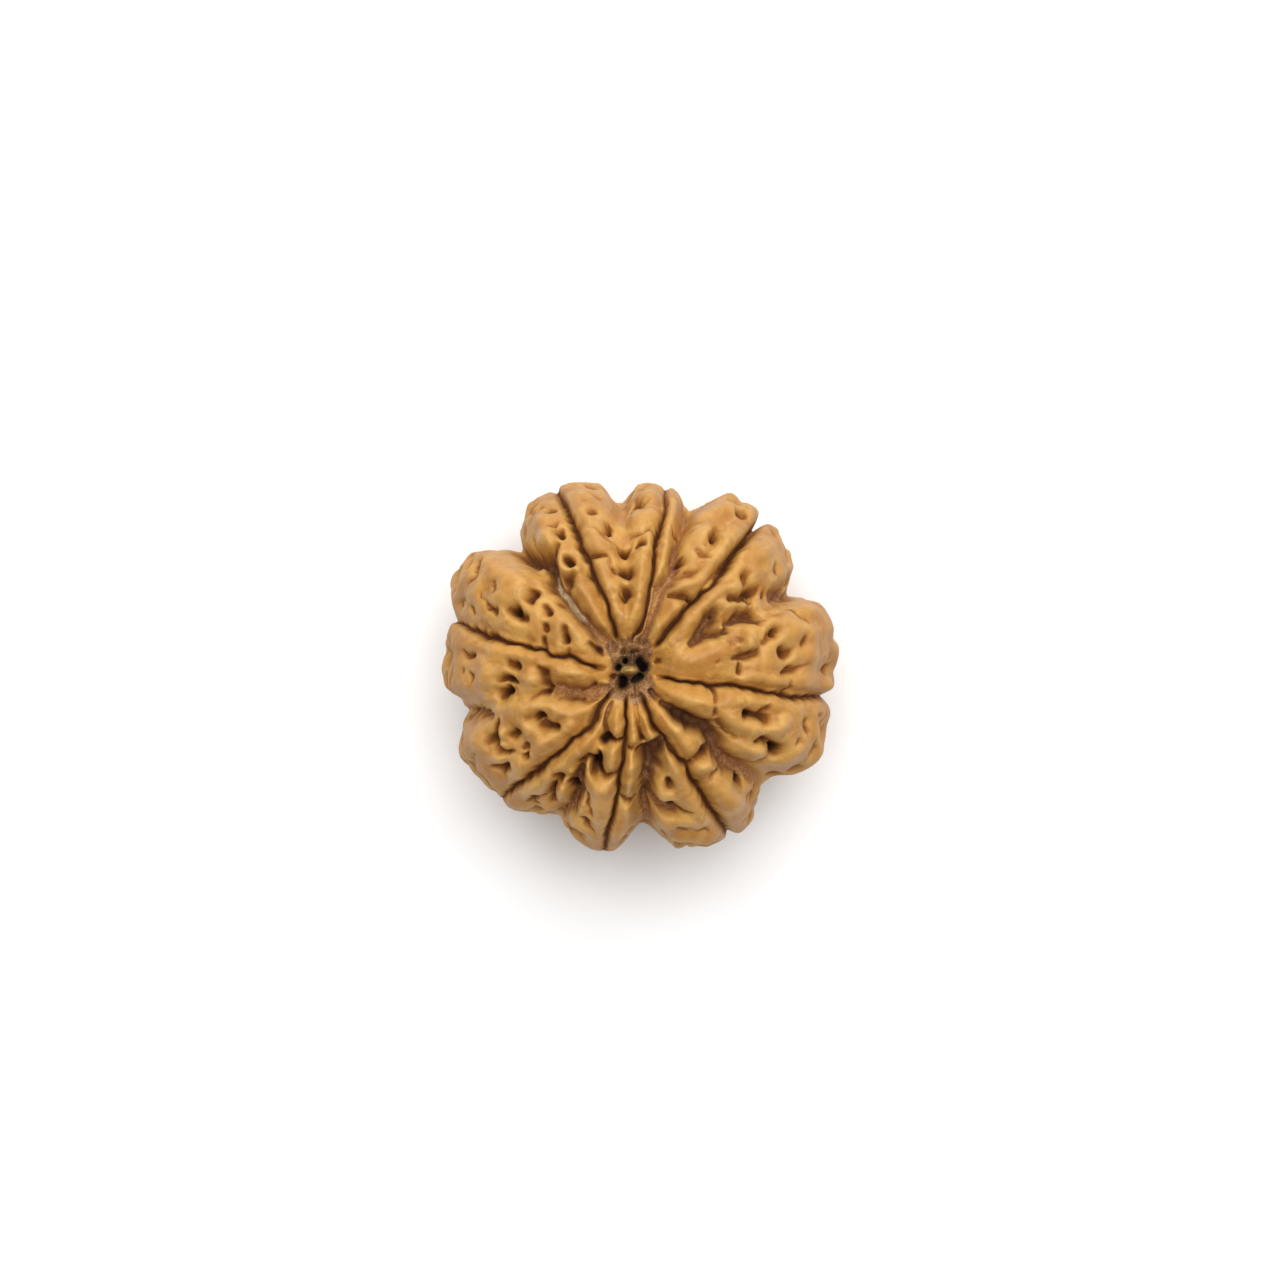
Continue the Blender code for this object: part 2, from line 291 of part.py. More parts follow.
    [(-9.15, -4.65, 0.14, 0.4), (-8.7, -4.55, 0.24, 1.2), (-8.4, -4.65, 0.12, 0.9)],
    [(-8.4, -3.3, 0.1, 0.6), (-8.55, -3.9, 0.14, 0.9), (-8.65, -4.5, 0.22, 1.2), (-8.6, -4.95, 0.14, 0.8)],
    [(-8.5, -5.05, 0.14, 0.8), (-8.0, -5.2, 0.13, 0.9), (-7.4, -5.25, 0.08, 0.4)],
    [(-8.8, -6.2, 0.1, 0.4), (-8.2, -6.3, 0.22, 1.0), (-7.7, -6.1, 0.18, 0.9)],
    [(-9.85, -5.3, 0.08, 0.2), (-9.8, -6.0, 0.08, 0.25)],
    [(-9.95, -2.8, 0.1, 0.4), (-9.8, -3.0, 0.1, 0.4)],
    # Lower half of the lobe to the left
    [(-5.85, 0.05, 0.12, 0.5), (-5.5, -0.3, 0.24, 0.9), (-5.4, -0.8, 0.24, 0.8), (-5.15, -1.1, 0.14, 1.1),
     (-5.35, -1.5, 0.15, 1.2), (-5.8, -1.65, 0.1, 0.6), (-6.4, -1.9, 0.06, 0.25)],
    [(-7.65, 0.35, 0.15, 0.6), (-7.3, 0.2, 0.22, 1.0), (-7.15, -0.02, 0.15, 1.0)],
    [(-8.2, -0.7, 0.15, 1.0), (-7.8, -0.65, 0.2, 1.3), (-7.3, -0.82, 0.15, 0.9)],
    [(-7.65, -1.25, 0.22, 1.5), (-7.9, -1.6, 0.24, 1.3), (-8.15, -1.85, 0.1, 0.6)],
    [(-7.33, -1.15, 0.06, 0.3), (-7.3, -1.6, 0.06, 0.3), (-7.1, -1.9, 0.06, 0.2)],
    [(-10.5, 1.05, 0.11, 0.4), (-10.35, 0.85, 0.08, 0.6), (-10.15, 0.75, 0.09, 0.8), (-9.88, 0.75, 0.1, 0.8)],
    [(-10.15, -0.3, 0.1, 0.4), (-10.0, -0.62, 0.12, 0.8)],
    [(-10.62, -0.15, 0.12, 0.3)],
    [(-3.88, -0.65, 0.09, 0.15)],
]

# What stands proud of the surface round it: x, y, half-width and height along each
RIDGES = [
    [(-7.4, 5.5, 1.5, 0.45)],
    [(-9.6, 6.7, 0.8, 0.15)],
    [(-6.3, 3.7, 0.6, 0.15), (-4.7, 3.0, 0.6, 0.15)],
    [(-5.4, 8.1, 0.95, 0.5)],
    [(-5.5, 9.4, 0.6, 0.15)],
    [(-4.4, 7.25, 0.25, 0.3), (-4.55, 6.6, 0.22, 0.35), (-4.1, 6.05, 0.22, 0.35), (-3.5, 6.3, 0.25, 0.3)],
    [(-3.0, 5.1, 0.55, 0.25), (-2.3, 3.5, 0.45, 0.25), (-1.7, 2.4, 0.3, 0.2)],
    [(-2.3, 8.0, 0.8, 0.4), (-3.0, 10.8, 0.9, 0.3)],
    [(-2.1, 6.6, 0.45, 0.3), (-1.6, 5.0, 0.4, 0.25), (-0.9, 3.2, 0.4, 0.2)],
    [(1.1, 8.3, 0.4, 0.3), (0.7, 6.6, 0.4, 0.25), (0.5, 4.5, 0.4, 0.25), (0.1, 2.8, 0.4, 0.2)],
    [(-0.2, 9.1, 0.7, 0.25), (1.4, 9.7, 0.6, 0.25)],
    [(1.1, 11.0, 0.7, 0.25)],
    [(2.6, 10.6, 0.4, 0.3), (2.2, 8.5, 0.35, 0.25), (1.9, 6.0, 0.35, 0.25)],
    [(4.6, 8.6, 0.75, 0.3)],
    [(5.8, 8.2, 0.5, 0.3)],
    [(3.0, 5.15, 0.4, 0.25), (4.5, 5.7, 0.5, 0.3), (5.6, 7.3, 0.45, 0.25), (6.6, 8.6, 0.5, 0.2)],
    [(4.6, 9.6, 0.5, 0.2), (6.2, 10.0, 0.6, 0.25), (7.4, 9.8, 0.6, 0.25)],
    [(2.9, 3.9, 0.4, 0.3), (1.7, 2.6, 0.35, 0.25), (1.2, 2.0, 0.3, 0.1)],
    [(8.3, 7.3, 1.1, 0.3)],
    [(8.0, 6.1, 0.6, 0.25)],
    [(6.7, 6.5, 0.45, 0.2), (5.3, 4.9, 0.45, 0.25), (3.2, 2.8, 0.5, 0.25), (1.8, 1.4, 0.4, 0.15)],
    [(6.5, 5.2, 0.55, 0.3)],
    [(5.15, 2.5, 0.28, 0.85), (5.55, 2.52, 0.28, 0.95)],
    [(5.4, 3.95, 0.5, 0.2), (7.2, 3.8, 0.5, 0.25), (8.4, 3.9, 0.5, 0.2)],
    [(7.45, 1.35, 0.34, 0.65), (7.35, 1.8, 0.34, 0.6)],
    [(6.65, 1.6, 0.2, 0.4)],
    [(2.6, 0.4, 0.7, 0.15), (5.0, 0.9, 0.9, 0.15)],
    [(8.4, 2.9, 0.4, 0.2), (9.6, 2.9, 0.5, 0.25), (11.2, 2.2, 0.6, 0.2), (11.4, 0.9, 0.5, 0.2)],
    [(11.2, 3.7, 0.7, 0.25)],
    [(7.0, -0.6, 0.4, 0.15), (9.2, -0.9, 0.5, 0.25)],
    [(11.0, -0.8, 0.8, 0.15)],
    [(1.9, -1.25, 0.35, 0.15), (3.4, -1.75, 0.6, 0.3), (4.7, -2.0, 0.6, 0.25)],
    [(6.2, -1.7, 0.5, 0.25), (8.6, -2.2, 0.4, 0.2), (10.6, -2.6, 0.5, 0.2)],
    [(6.2, -3.3, 0.5, 0.2), (7.8, -3.8, 0.45, 0.3), (9.2, -3.9, 0.5, 0.35), (9.8, -3.1, 0.4, 0.2)],
    [(6.2, -4.9, 0.5, 0.2), (7.9, -5.3, 0.6, 0.35)],
    [(10.3, -5.4, 0.9, 0.25)],
    [(11.7, -4.0, 0.5, 0.2)],
    [(1.5, -2.5, 0.35, 0.2), (2.8, -4.0, 0.6, 0.3), (3.6, -5.1, 0.5, 0.35)],
    [(4.15, -6.3, 0.5, 0.5), (4.9, -6.0, 0.42, 0.55)],
    [(5.2, -7.4, 0.6, 0.25), (6.3, -8.6, 1.0, 0.35)],
    [(2.35, -5.6, 0.35, 0.4), (3.2, -7.2, 0.5, 0.35), (4.6, -9.7, 0.5, 0.25)],
    [(1.8, -9.6, 0.6, 0.25)],
    [(3.5, -9.7, 0.55, 0.3)],
    [(3.4, -10.8, 0.6, 0.2), (5.0, -10.8, 0.5, 0.2)],
    [(0.0, -3.0, 0.2, 0.15), (0.15, -4.6, 0.25, 0.25)],
    [(0.8, -3.1, 0.2, 0.2), (1.35, -4.5, 0.25, 0.3)],
    [(0.0, -5.45, 0.26, 0.5), (0.0, -6.2, 0.5, 0.75), (-0.1, -7.1, 0.5, 0.75), (-0.25, -7.75, 0.3, 0.5)],
    [(-0.3, -8.9, 0.4, 0.35), (-0.6, -10.3, 0.7, 0.25)],
    [(-0.9, -2.9, 0.3, 0.2), (-0.95, -4.0, 0.35, 0.25)],
    [(-1.15, -5.15, 0.4, 0.6), (-1.25, -6.1, 0.4, 0.55)],
    [(-1.3, -7.0, 0.35, 0.25), (-1.9, -7.7, 0.6, 0.4), (-1.9, -9.6, 0.6, 0.25)],
    [(-2.75, -5.9, 0.25, 0.2), (-2.6, -6.8, 0.3, 0.15)],
    [(-3.05, -8.2, 0.12, 0.2), (-3.25, -9.3, 0.15, 0.25)],
    [(-3.3, -10.2, 0.6, 0.2)],
    [(-2.1, -3.8, 0.35, 0.15), (-3.4, -5.2, 0.5, 0.25), (-5.2, -6.9, 0.55, 0.3), (-6.8, -7.9, 0.4, 0.15)],
    [(-3.85, -6.55, 0.25, 0.3)],
    [(-4.35, -7.5, 0.45, 0.7), (-4.35, -8.1, 0.42, 0.6)],
    [(-5.3, -8.8, 0.6, 0.2)],
    [(-2.8, -2.6, 0.4, 0.25), (-4.6, -2.7, 0.5, 0.2)],
    [(-3.9, -3.6, 0.4, 0.2), (-5.6, -4.7, 0.6, 0.35), (-7.3, -6.7, 0.5, 0.25)],
    [(-6.6, -3.8, 0.5, 0.3)],
    [(-8.2, -4.15, 0.3, 0.35)],
    [(-8.2, -4.85, 0.22, 0.3)],
    [(-8.5, -5.6, 0.5, 0.3)],
    [(-9.9, -4.4, 0.7, 0.2)],
    [(-2.5, -0.4, 0.4, 0.15), (-4.6, 0.05, 0.5, 0.25), (-6.5, 0.75, 0.4, 0.25), (-8.8, 1.1, 0.5, 0.25)],
    [(-6.4, -0.7, 0.7, 0.3)],
    [(-9.2, -0.4, 0.7, 0.3)],
    [(-9.0, -1.8, 0.5, 0.2), (-6.8, -2.5, 0.5, 0.25), (-5.0, -2.4, 0.4, 0.2)],
]

# The crater at the pole: its pits, then the plug and the bars between the pits
CRATER_CUTS = [
    [(-0.6, -0.72, 0.22, 1.6), (-0.62, -1.1, 0.25, 1.7)],
    [(-0.94, 0.08, 0.18, 1.1)],
    [(-0.46, 0.47, 0.18, 1.1)],
    [(-1.28, -0.55, 0.14, 0.8)],
    [(0.55, 0.45, 0.2, 1.1), (0.8, 0.05, 0.24, 1.5)],
    [(0.02, 1.1, 0.09, 0.6), (0.35, 1.12, 0.09, 0.6)],
    [(-0.55, 1.15, 0.13, 0.5)],
    [(0.1, -0.78, 0.14, 0.8), (0.6, -0.55, 0.2, 1.1)],
    [(-0.5, -1.75, 0.08, 0.4)],
    [(0.05, -1.78, 0.08, 0.35)],
]
CRATER_RIDGES = [
    [(-0.4, -0.13, 0.24, 0.8), (0.08, -0.12, 0.24, 0.8)],
    [(0.05, 0.9, 0.09, 0.5), (0.02, 0.35, 0.1, 0.6)],
    [(-0.9, -0.35, 0.12, 0.3), (-0.6, -0.25, 0.12, 0.4)],
    [(0.3, -1.1, 0.1, 0.4), (0.35, -1.7, 0.1, 0.3)],
]

# The belt round the middle, filled by a seeded rule
BELT_SEED = 8
BELT_TRIES_PER_LOBE = 40
BELT_LATITUDE_DEG = 18
BELT_SHARE_POWER = 0.8
BELT_SPACING = 1.05
BELT_SEAM_GAP = 0.1
BELT_SLANT = 0.7
BELT_LENGTHS = (0.2, 1.6)
BELT_HALF_WIDTHS = (0.1, 0.26)
BELT_DEPTHS = (0.6, 1.4)
BELT_BEND = 0.2
BELT_RIDGE_OFFSET_DEG = 5
BELT_RIDGE_HALF_WIDTHS = (0.5, 0.9)
BELT_RIDGE_HEIGHTS = (0.06, 0.2)
BELT_END_WIDTH = 0.65
BELT_END_DEPTH = 0.6
BELT_VALLEY_ZONE = (0.3, 0.7)
BELT_VALLEY_REACH = 0.62
BELT_VALLEY_POINTS = 7
BELT_VALLEY_WAVE = 0.06
BELT_VALLEY_WIDTH = 0.4
BELT_VALLEY_DEPTH = 0.3
BELT_WANDER_DEG = 2.2
BELT_WANDER_WAVES = 7
BELT_WANDER_START = 0.4
BELT_WANDER_POWER = 8

# How unevenly the edges of the marks run
WOBBLE_SEED = 4
WOBBLE_WAVES = 24
WOBBLE_SIZE = 0.04
WOBBLE_LENGTHS = (0.45, 1.3)

# Gentle waviness all over, a sum of seeded plane waves
UNDULATION_SEED = 21
UNDULATION_WAVES = 28
UNDULATION_HEIGHT = 0.1
UNDULATION_LENGTHS = (1.6, 4.5)


def outline_table():
    """Angles in degrees and the eased radius of the silhouette at each."""
    corners = np.array(OUTLINE)
    angle = np.degrees(np.arctan2(corners[:, 1], corners[:, 0])) % 360
    order = np.argsort(angle)
    radius = np.hypot(corners[:, 0], corners[:, 1])
    grid = np.arange(0, 360, OUTLINE_STEP_DEG)
    raw = np.interp(grid, angle[order], radius[order], period=360)
    reach = int(OUTLINE_EASE_DEG / OUTLINE_STEP_DEG)
    kernel = np.hanning(2 * reach + 3)[1:-1]
    wrapped = np.concatenate([raw[-reach:], raw, raw[:reach]])
    return grid, np.convolve(wrapped, kernel / kernel.sum(), "valid")


OUTLINE_ANGLE, OUTLINE_RADIUS = outline_table()


def rim(angle):
    """Radius of the silhouette at an angle in degrees."""
    return np.interp(angle % 360, OUTLINE_ANGLE, OUTLINE_RADIUS, period=360)


def seam_tables():
    """For each seam the share of the radius, the unwrapped angle and the half-width along it."""
    tables = []
    for seam in SEAMS:
        x, y, width = np.array(seam).T
        angle = np.degrees(np.unwrap(np.arctan2(y, x)))
        tables.append((np.hypot(x, y) / rim(angle), angle, width))
    return tables


SEAM_TABLES = seam_tables()
WANDER_PHASES = np.random.default_rng(BELT_SEED).uniform(0, 2 * np.pi, len(SEAMS))


def seam_angle(index, share, height_share):
    """Angle of a seam where the body is at this share of its radius, above or below the belt."""
    below_index = (index + TURN_BELOW) % len(SEAMS)
    above = np.interp(share, SEAM_TABLES[index][0], SEAM_TABLES[index][1])
    lent = np.interp(share, SEAM_TABLES[below_index][0], SEAM_TABLES[below_index][1])
    below = SEAM_TABLES[index][1][-1] + lent - SEAM_TABLES[below_index][1][-1]
    wave = BELT_WANDER_DEG * np.sin(BELT_WANDER_WAVES * height_share + WANDER_PHASES[index])
    ramp = np.clip(-height_share / BELT_WANDER_START, 0, 1)
    return np.where(height_share >= 0, above, below) + ramp * wave * share ** BELT_WANDER_POWER


def body_point(angle, share, side):
    """Point on the plain lobed body, from its angle, its share of the radius and its side."""
    radius = share * rim(angle)
    height = side * HALF_HEIGHT * (1 - np.minimum(share, 1) ** PROFILE_POWER) ** (1 / PROFILE_POWER)
    turn = np.radians(angle)
    return np.array([radius * np.cos(turn), radius * np.sin(turn), height])


def mark_point(x, y, side):
    """Point on the body for a mark seen at x, y from above; the underside is turned by whole lobes."""
    angle = np.degrees(np.arctan2(y, x))
    share = min(np.hypot(x, y) / rim(angle), MARK_SHARE_LIMIT)
    if side > 0:
        return body_point(angle, share, side)
    starts = [float(seam_angle(k, share, 1.0)) for k in range(len(SEAMS))]
    lobe, fraction = 0, 0.0
    for k, start in enumerate(starts):
        span = (starts[(k + 1) % len(SEAMS)] - start) % 360
        offset = (angle - start) % 360
        if offset < span:
            lobe, fraction = k, offset / span
    target = (lobe - TURN_BELOW) % len(SEAMS)
    start = float(seam_angle(target, share, -1.0))
    span = (float(seam_angle((target + 1) % len(SEAMS), share, -1.0)) - start) % 360
    return body_point(start + fraction * span, share, side)


def stroke(marks, side, way):
    """A chain of body points, each with its half-width and depth or height.

    Marks were read from VIEW_DISTANCE above the middle, so what stands higher looked further out. A
    raised mark also moves out along its leaning line, so it starts further in: way is 1 for what is
    sunk and minus 1 for what is raised."""
    chain = []
    for x, y, width, amount in marks:
        radius = np.hypot(x, y)
        height = mark_point(x, y, 1)[2]
        outward = LEAN * radius / np.hypot(LEAN * radius, height)
        sunk = SUNK_WIDTH_SHIFT * width + SUNK_DEPTH_SHIFT * amount
        shift = sunk if way > 0 else -RAISED_SHIFT * amount
        eased = 1 - height / VIEW_DISTANCE + shift * outward / radius
        chain.append((mark_point(x * eased, y * eased, side), width, amount))
    return chain


def belt_strokes():
    """Seeded valleys, pits and low ridges round the middle, lobe by lobe."""
    draw = np.random.default_rng(BELT_SEED)
    valleys, cuts, ridges, centres = [], [], [], []
    for k in range(len(SEAMS)):
        start = SEAM_TABLES[k][1][-1]
        span = (SEAM_TABLES[(k + 1) % len(SEAMS)][1][-1] - start) % 360
        middle = np.linspace(*BELT_VALLEY_ZONE)
        lowest = middle[np.argmin(rim(start + middle * span))]
        path = []
        for height in np.linspace(-BELT_VALLEY_REACH, BELT_VALLEY_REACH, BELT_VALLEY_POINTS):
            share = (1 - abs(height) ** PROFILE_POWER) ** (1 / PROFILE_POWER)
            angle = start + (lowest + draw.uniform(-BELT_VALLEY_WAVE, BELT_VALLEY_WAVE)) * span
            point = body_point(angle, share, np.sign(height))
            path.append((point, BELT_VALLEY_WIDTH, BELT_VALLEY_DEPTH * abs(height)))
        valleys.append(path)
        for _ in range(BELT_TRIES_PER_LOBE):
            latitude = draw.uniform(-BELT_LATITUDE_DEG, BELT_LATITUDE_DEG)
            angle = start + draw.uniform(BELT_SEAM_GAP, 1 - BELT_SEAM_GAP) * span
            slant = draw.normal(0, BELT_SLANT)
            length = draw.uniform(*BELT_LENGTHS)
            width = draw.uniform(*BELT_HALF_WIDTHS)
            depth = draw.uniform(*BELT_DEPTHS)
            bend = draw.normal(0, BELT_BEND)
            lift_angle = angle + draw.uniform(-BELT_RIDGE_OFFSET_DEG, BELT_RIDGE_OFFSET_DEG)
            lift_width = draw.uniform(*BELT_RIDGE_HALF_WIDTHS)
            lift = draw.uniform(*BELT_RIDGE_HEIGHTS)
            share = np.cos(np.radians(latitude)) ** BELT_SHARE_POWER
            centre = body_point(angle, share, np.sign(latitude))
            if any(np.linalg.norm(centre - other) < BELT_SPACING for other in centres):
                continue
            centres.append(centre)
            across = np.array([-np.sin(np.radians(angle)), np.cos(np.radians(angle)), 0])
            along = across * np.sin(slant) + np.array([0, 0, np.cos(slant)])
            reach = along * length / 2
            end_width, end_depth = BELT_END_WIDTH * width, BELT_END_DEPTH * depth
            cuts.append([(centre - reach, end_width, end_depth), (centre + across * bend, width, depth),
                         (centre + reach, end_width, end_depth)])
            ridges.append([(body_point(lift_angle, share, np.sign(latitude)), lift_width, lift)])
    return valleys, cuts, ridges


def all_strokes():
    """Valleys, cuts and ridges of both faces and of the belt between them."""
    valleys, cuts, ridges = belt_strokes()
    for side in (1, -1):
        valleys += [stroke(marks, side, 1) for marks in VALLEYS]
        cuts += [stroke(marks, side, 1) for marks in CUTS + CRATER_CUTS]
        ridges += [stroke(marks, side, -1) for marks in RIDGES + CRATER_RIDGES]
    return valleys, cuts, ridges


def chain_pieces(chain):
    """The straight pieces of a chain, or its one point as a piece of no length."""
    return list(zip(chain, chain[1:])) or [(chain[0], chain[0])]


def sloping(gap, reach):
    """1 beside a mark, falling to 0 at the reach, steepest at the mark so that what lies between
    two marks is rounded like a pillow."""
    return np.clip(1 - gap / reach, 0, 1) ** SHOULDER_POWER


def stroke_field(points, chains, wall_power):
    """Joined depth of the chains at each point, and the soft shoulder beside them."""
    core = np.zeros(len(points))
    shoulder = np.zeros(len(points))
    for chain in chains:
        beside = np.zeros(len(points))
        for (a, width_a, amount_a), (b, width_b, amount_b) in chain_pieces(chain):
            run = b - a
            widest = max(width_a, width_b, LEAST_HALF_WIDTH)
            reach = np.linalg.norm(run) / 2 + max(widest + SHOULDER_REACH, STROKE_REACH * widest)
            near = np.flatnonzero(((points - (a + b) / 2) ** 2).sum(axis=1) < reach ** 2)
            offset = points[near] - a
            t = np.clip(offset @ run / max(run @ run, TINY), 0, 1)
            gap = np.linalg.norm(offset - t[:, None] * run, axis=1)
            width = width_a + t * (width_b - width_a)
            amount = amount_a + t * (amount_b - amount_a)
            slope = np.minimum(amount, SHOULDER_CAP) * sloping(np.maximum(gap - width, 0), SHOULDER_REACH)
            beside[near] = np.maximum(beside[near], slope)
            amount = amount * np.minimum(width / LEAST_HALF_WIDTH, 1)
            width = np.maximum(width, LEAST_HALF_WIDTH)
            shape = np.exp(-(gap / (STROKE_SPREAD * width)) ** wall_power)
            core[near] += (amount * shape) ** JOIN_POWER
        shoulder += beside ** 2
    return core ** (1 / JOIN_POWER), SHOULDER_SHARE * np.sqrt(shoulder)


def seam_field(points):
    """Depth of the seams at each point, and the soft shoulder beside them."""
    angle = np.degrees(np.arctan2(points[:, 1], points[:, 0]))
    radius = np.hypot(points[:, 0], points[:, 1])
    share = radius / rim(angle)
    depth = np.zeros(len(points))
    shoulder = np.zeros(len(points))
    for k in range(len(SEAMS)):
        centre = seam_angle(k, share, points[:, 2] / HALF_HEIGHT)
        gap = np.abs((angle - centre + 180) % 360 - 180)
        gap = np.radians(gap) * radius
        width = np.interp(share, SEAM_TABLES[k][0], SEAM_TABLES[k][2])
        width = np.maximum(width, LEAST_SEAM_HALF_WIDTH)
        fade = np.clip((radius - SEAM_START_RADIUS) / SEAM_START_LENGTH, 0, 1)
        deepest = SEAM_DEPTH * fade * (1 - SEAM_RIM_LOSS * share ** SEAM_RIM_POWER)
        shape = np.exp(-(gap / (SEAM_SPREAD * width)) ** SEAM_WALL_POWER)
        depth = np.maximum(depth, deepest * shape)
        shoulder += (deepest * sloping(np.maximum(gap - width, 0), SEAM_SHOULDER_REACH)) ** 2
    return depth, SEAM_SHOULDER_SHARE * np.sqrt(shoulder)


def wobbled(points):
    """Points moved a little by seeded plane waves, so that the edges of the marks run unevenly."""
    draw = np.random.default_rng(WOBBLE_SEED)
    total = np.zeros(points.shape)
    for _ in range(WOBBLE_WAVES):
        way = draw.normal(size=3)
        wave = 2 * np.pi / draw.uniform(*WOBBLE_LENGTHS) * way / np.linalg.norm(way)
        push = draw.normal(size=3)
        total += push * np.sin(points @ wave + draw.uniform(0, 2 * np.pi))[:, None]
    return points + WOBBLE_SIZE * total * np.sqrt(2 / WOBBLE_WAVES)


def undulation(points):
    """Gentle waviness: a sum of seeded plane waves in many directions."""
    draw = np.random.default_rng(UNDULATION_SEED)
    total = np.zeros(len(points))
    for _ in range(UNDULATION_WAVES):
        way = draw.normal(size=3)
        length = draw.uniform(*UNDULATION_LENGTHS)
        wave = 2 * np.pi / length * way / np.linalg.norm(way)
        total += length / UNDULATION_LENGTHS[1] * np.sin(points @ wave + draw.uniform(0, 2 * np.pi))
    return UNDULATION_HEIGHT * total * np.sqrt(2 / UNDULATION_WAVES)


def relief(body):
    """Height of the surface over each point of the plain body."""
    valleys, cuts, ridges = all_strokes()
    uneven = wobbled(body)
    valley, valley_shoulder = stroke_field(uneven, valleys, VALLEY_WALL_POWER)
    cut, cut_shoulder = stroke_field(uneven, cuts, PIT_WALL_POWER)
    ridge, _ = stroke_field(body, ridges, RIDGE_POWER)
    seam, seam_shoulder = seam_field(uneven)
    radius = np.hypot(body[:, 0], body[:, 1])
    crater = CRATER_DEPTH * np.exp(-(radius / CRATER_RADIUS) ** CRATER_POWER)
    dip = POLE_DIP_DEPTH * np.exp(-(radius / POLE_DIP_RADIUS) ** 2)
    sunk = (valley ** MERGE_POWER + cut ** MERGE_POWER + seam ** MERGE_POWER) ** (1 / MERGE_POWER)
    shoulder = np.sqrt(valley_shoulder ** 2 + cut_shoulder ** 2 + seam_shoulder ** 2)
    return RIDGE_LIFT * ridge + undulation(body) - sunk - shoulder - crater - dip


def raised(body, height):
    """The body's points moved by their height, along lines that lean from the middle to the upright."""
    line = body * (LEAN, LEAN, 1)
    return body + height[:, None] * line / np.linalg.norm(line, axis=1)[:, None]


def seed_points(directions):
    """Points of the seed's surface in millimetres about its middle, one for each unit direction."""
    angle = np.degrees(np.arctan2(directions[:, 1], directions[:, 0]))
    across = np.hypot(directions[:, 0], directions[:, 1])
    upright = np.abs(directions[:, 2])
    reach = ((across / rim(angle)) ** PROFILE_POWER
             + (upright / HALF_HEIGHT) ** PROFILE_POWER) ** (-1 / PROFILE_POWER)
    body = directions * reach[:, None]
    return raised(body, relief(body))


def woody_material():
    """Satin ochre wood."""
    material = bpy.data.materials.new("seed_shell")
    material.use_nodes = True
    shader = material.node_tree.nodes["Principled BSDF"]
    shader.inputs["Base Color"].default_value = WOOD_COLOUR
    shader.inputs["Roughness"].default_value = WOOD_ROUGHNESS
    shader.inputs["Metallic"].default_value = 0.0
    return material


def make_seed(collection):
    """The seed's surface from a ball, thinned to the triangles its shape needs."""
    ball = bmesh.new()
    bmesh.ops.create_icosphere(ball, subdivisions=BALL_SUBDIVISIONS, radius=1.0)
    mesh = bpy.data.meshes.new(NAME)
    ball.to_mesh(mesh)
    ball.free()
    flat = np.empty(3 * len(mesh.vertices))
    mesh.vertices.foreach_get("co", flat)
    directions = flat.reshape(-1, 3)
    directions /= np.linalg.norm(directions, axis=1)[:, None]
    points = seed_points(directions)
    points[:, 2] -= points[:, 2].min() + FLAT_SPOT_CUT
    mesh.vertices.foreach_set("co", (points * MM).ravel())
    mesh.update()
    mesh.shade_smooth()
    mesh.materials.append(woody_material())
    seed = bpy.data.objects.new(NAME, mesh)
    collection.objects.link(seed)
    thin = seed.modifiers.new("thin", "DECIMATE")
    thin.ratio = TRIANGLE_TARGET / len(mesh.polygons)
    return seed


def cut_flat(seed, collection):
    """Cut the lowest ridges level, so that the seed stands on small flat spots."""
    block = bmesh.new()
    size = Vector((FLOOR_BLOCK_SIDE, FLOOR_BLOCK_SIDE, FLOOR_BLOCK_DEPTH)) * MM
    place = Matrix.LocRotScale(Vector((0, 0, -size.z / 2)), None, size)
    bmesh.ops.create_cube(block, size=1.0, matrix=place)
    mesh = bpy.data.meshes.new("floor_block")
    block.to_mesh(mesh)
    block.free()
    cutter = bpy.data.objects.new("floor_block", mesh)
    cutter.hide_render = True
    cutter.display_type = "WIRE"
    collection.objects.link(cutter)
    cut = seed.modifiers.new("flat_spots", "BOOLEAN")
    cut.operation = "DIFFERENCE"
    cut.object = cutter


def centre(seed):
    """Move the finished seed sideways until its box is centred on the origin."""
    shape = seed.evaluated_get(bpy.context.evaluated_depsgraph_get()).data
    flat = np.empty(3 * len(shape.vertices))
    shape.vertices.foreach_get("co", flat)
    points = flat.reshape(-1, 3)
    middle = (points.min(axis=0) + points.max(axis=0)) / 2
    seed.location = (-middle[0], -middle[1], 0)


def new_collection(name):
    collection = bpy.data.collections.new(name)
    bpy.context.scene.collection.children.link(collection)
    return collection


for old in list(bpy.data.objects):
    bpy.data.objects.remove(old)

rudraksha = make_seed(new_collection(NAME))
cut_flat(rudraksha, new_collection("cutters"))
centre(rudraksha)
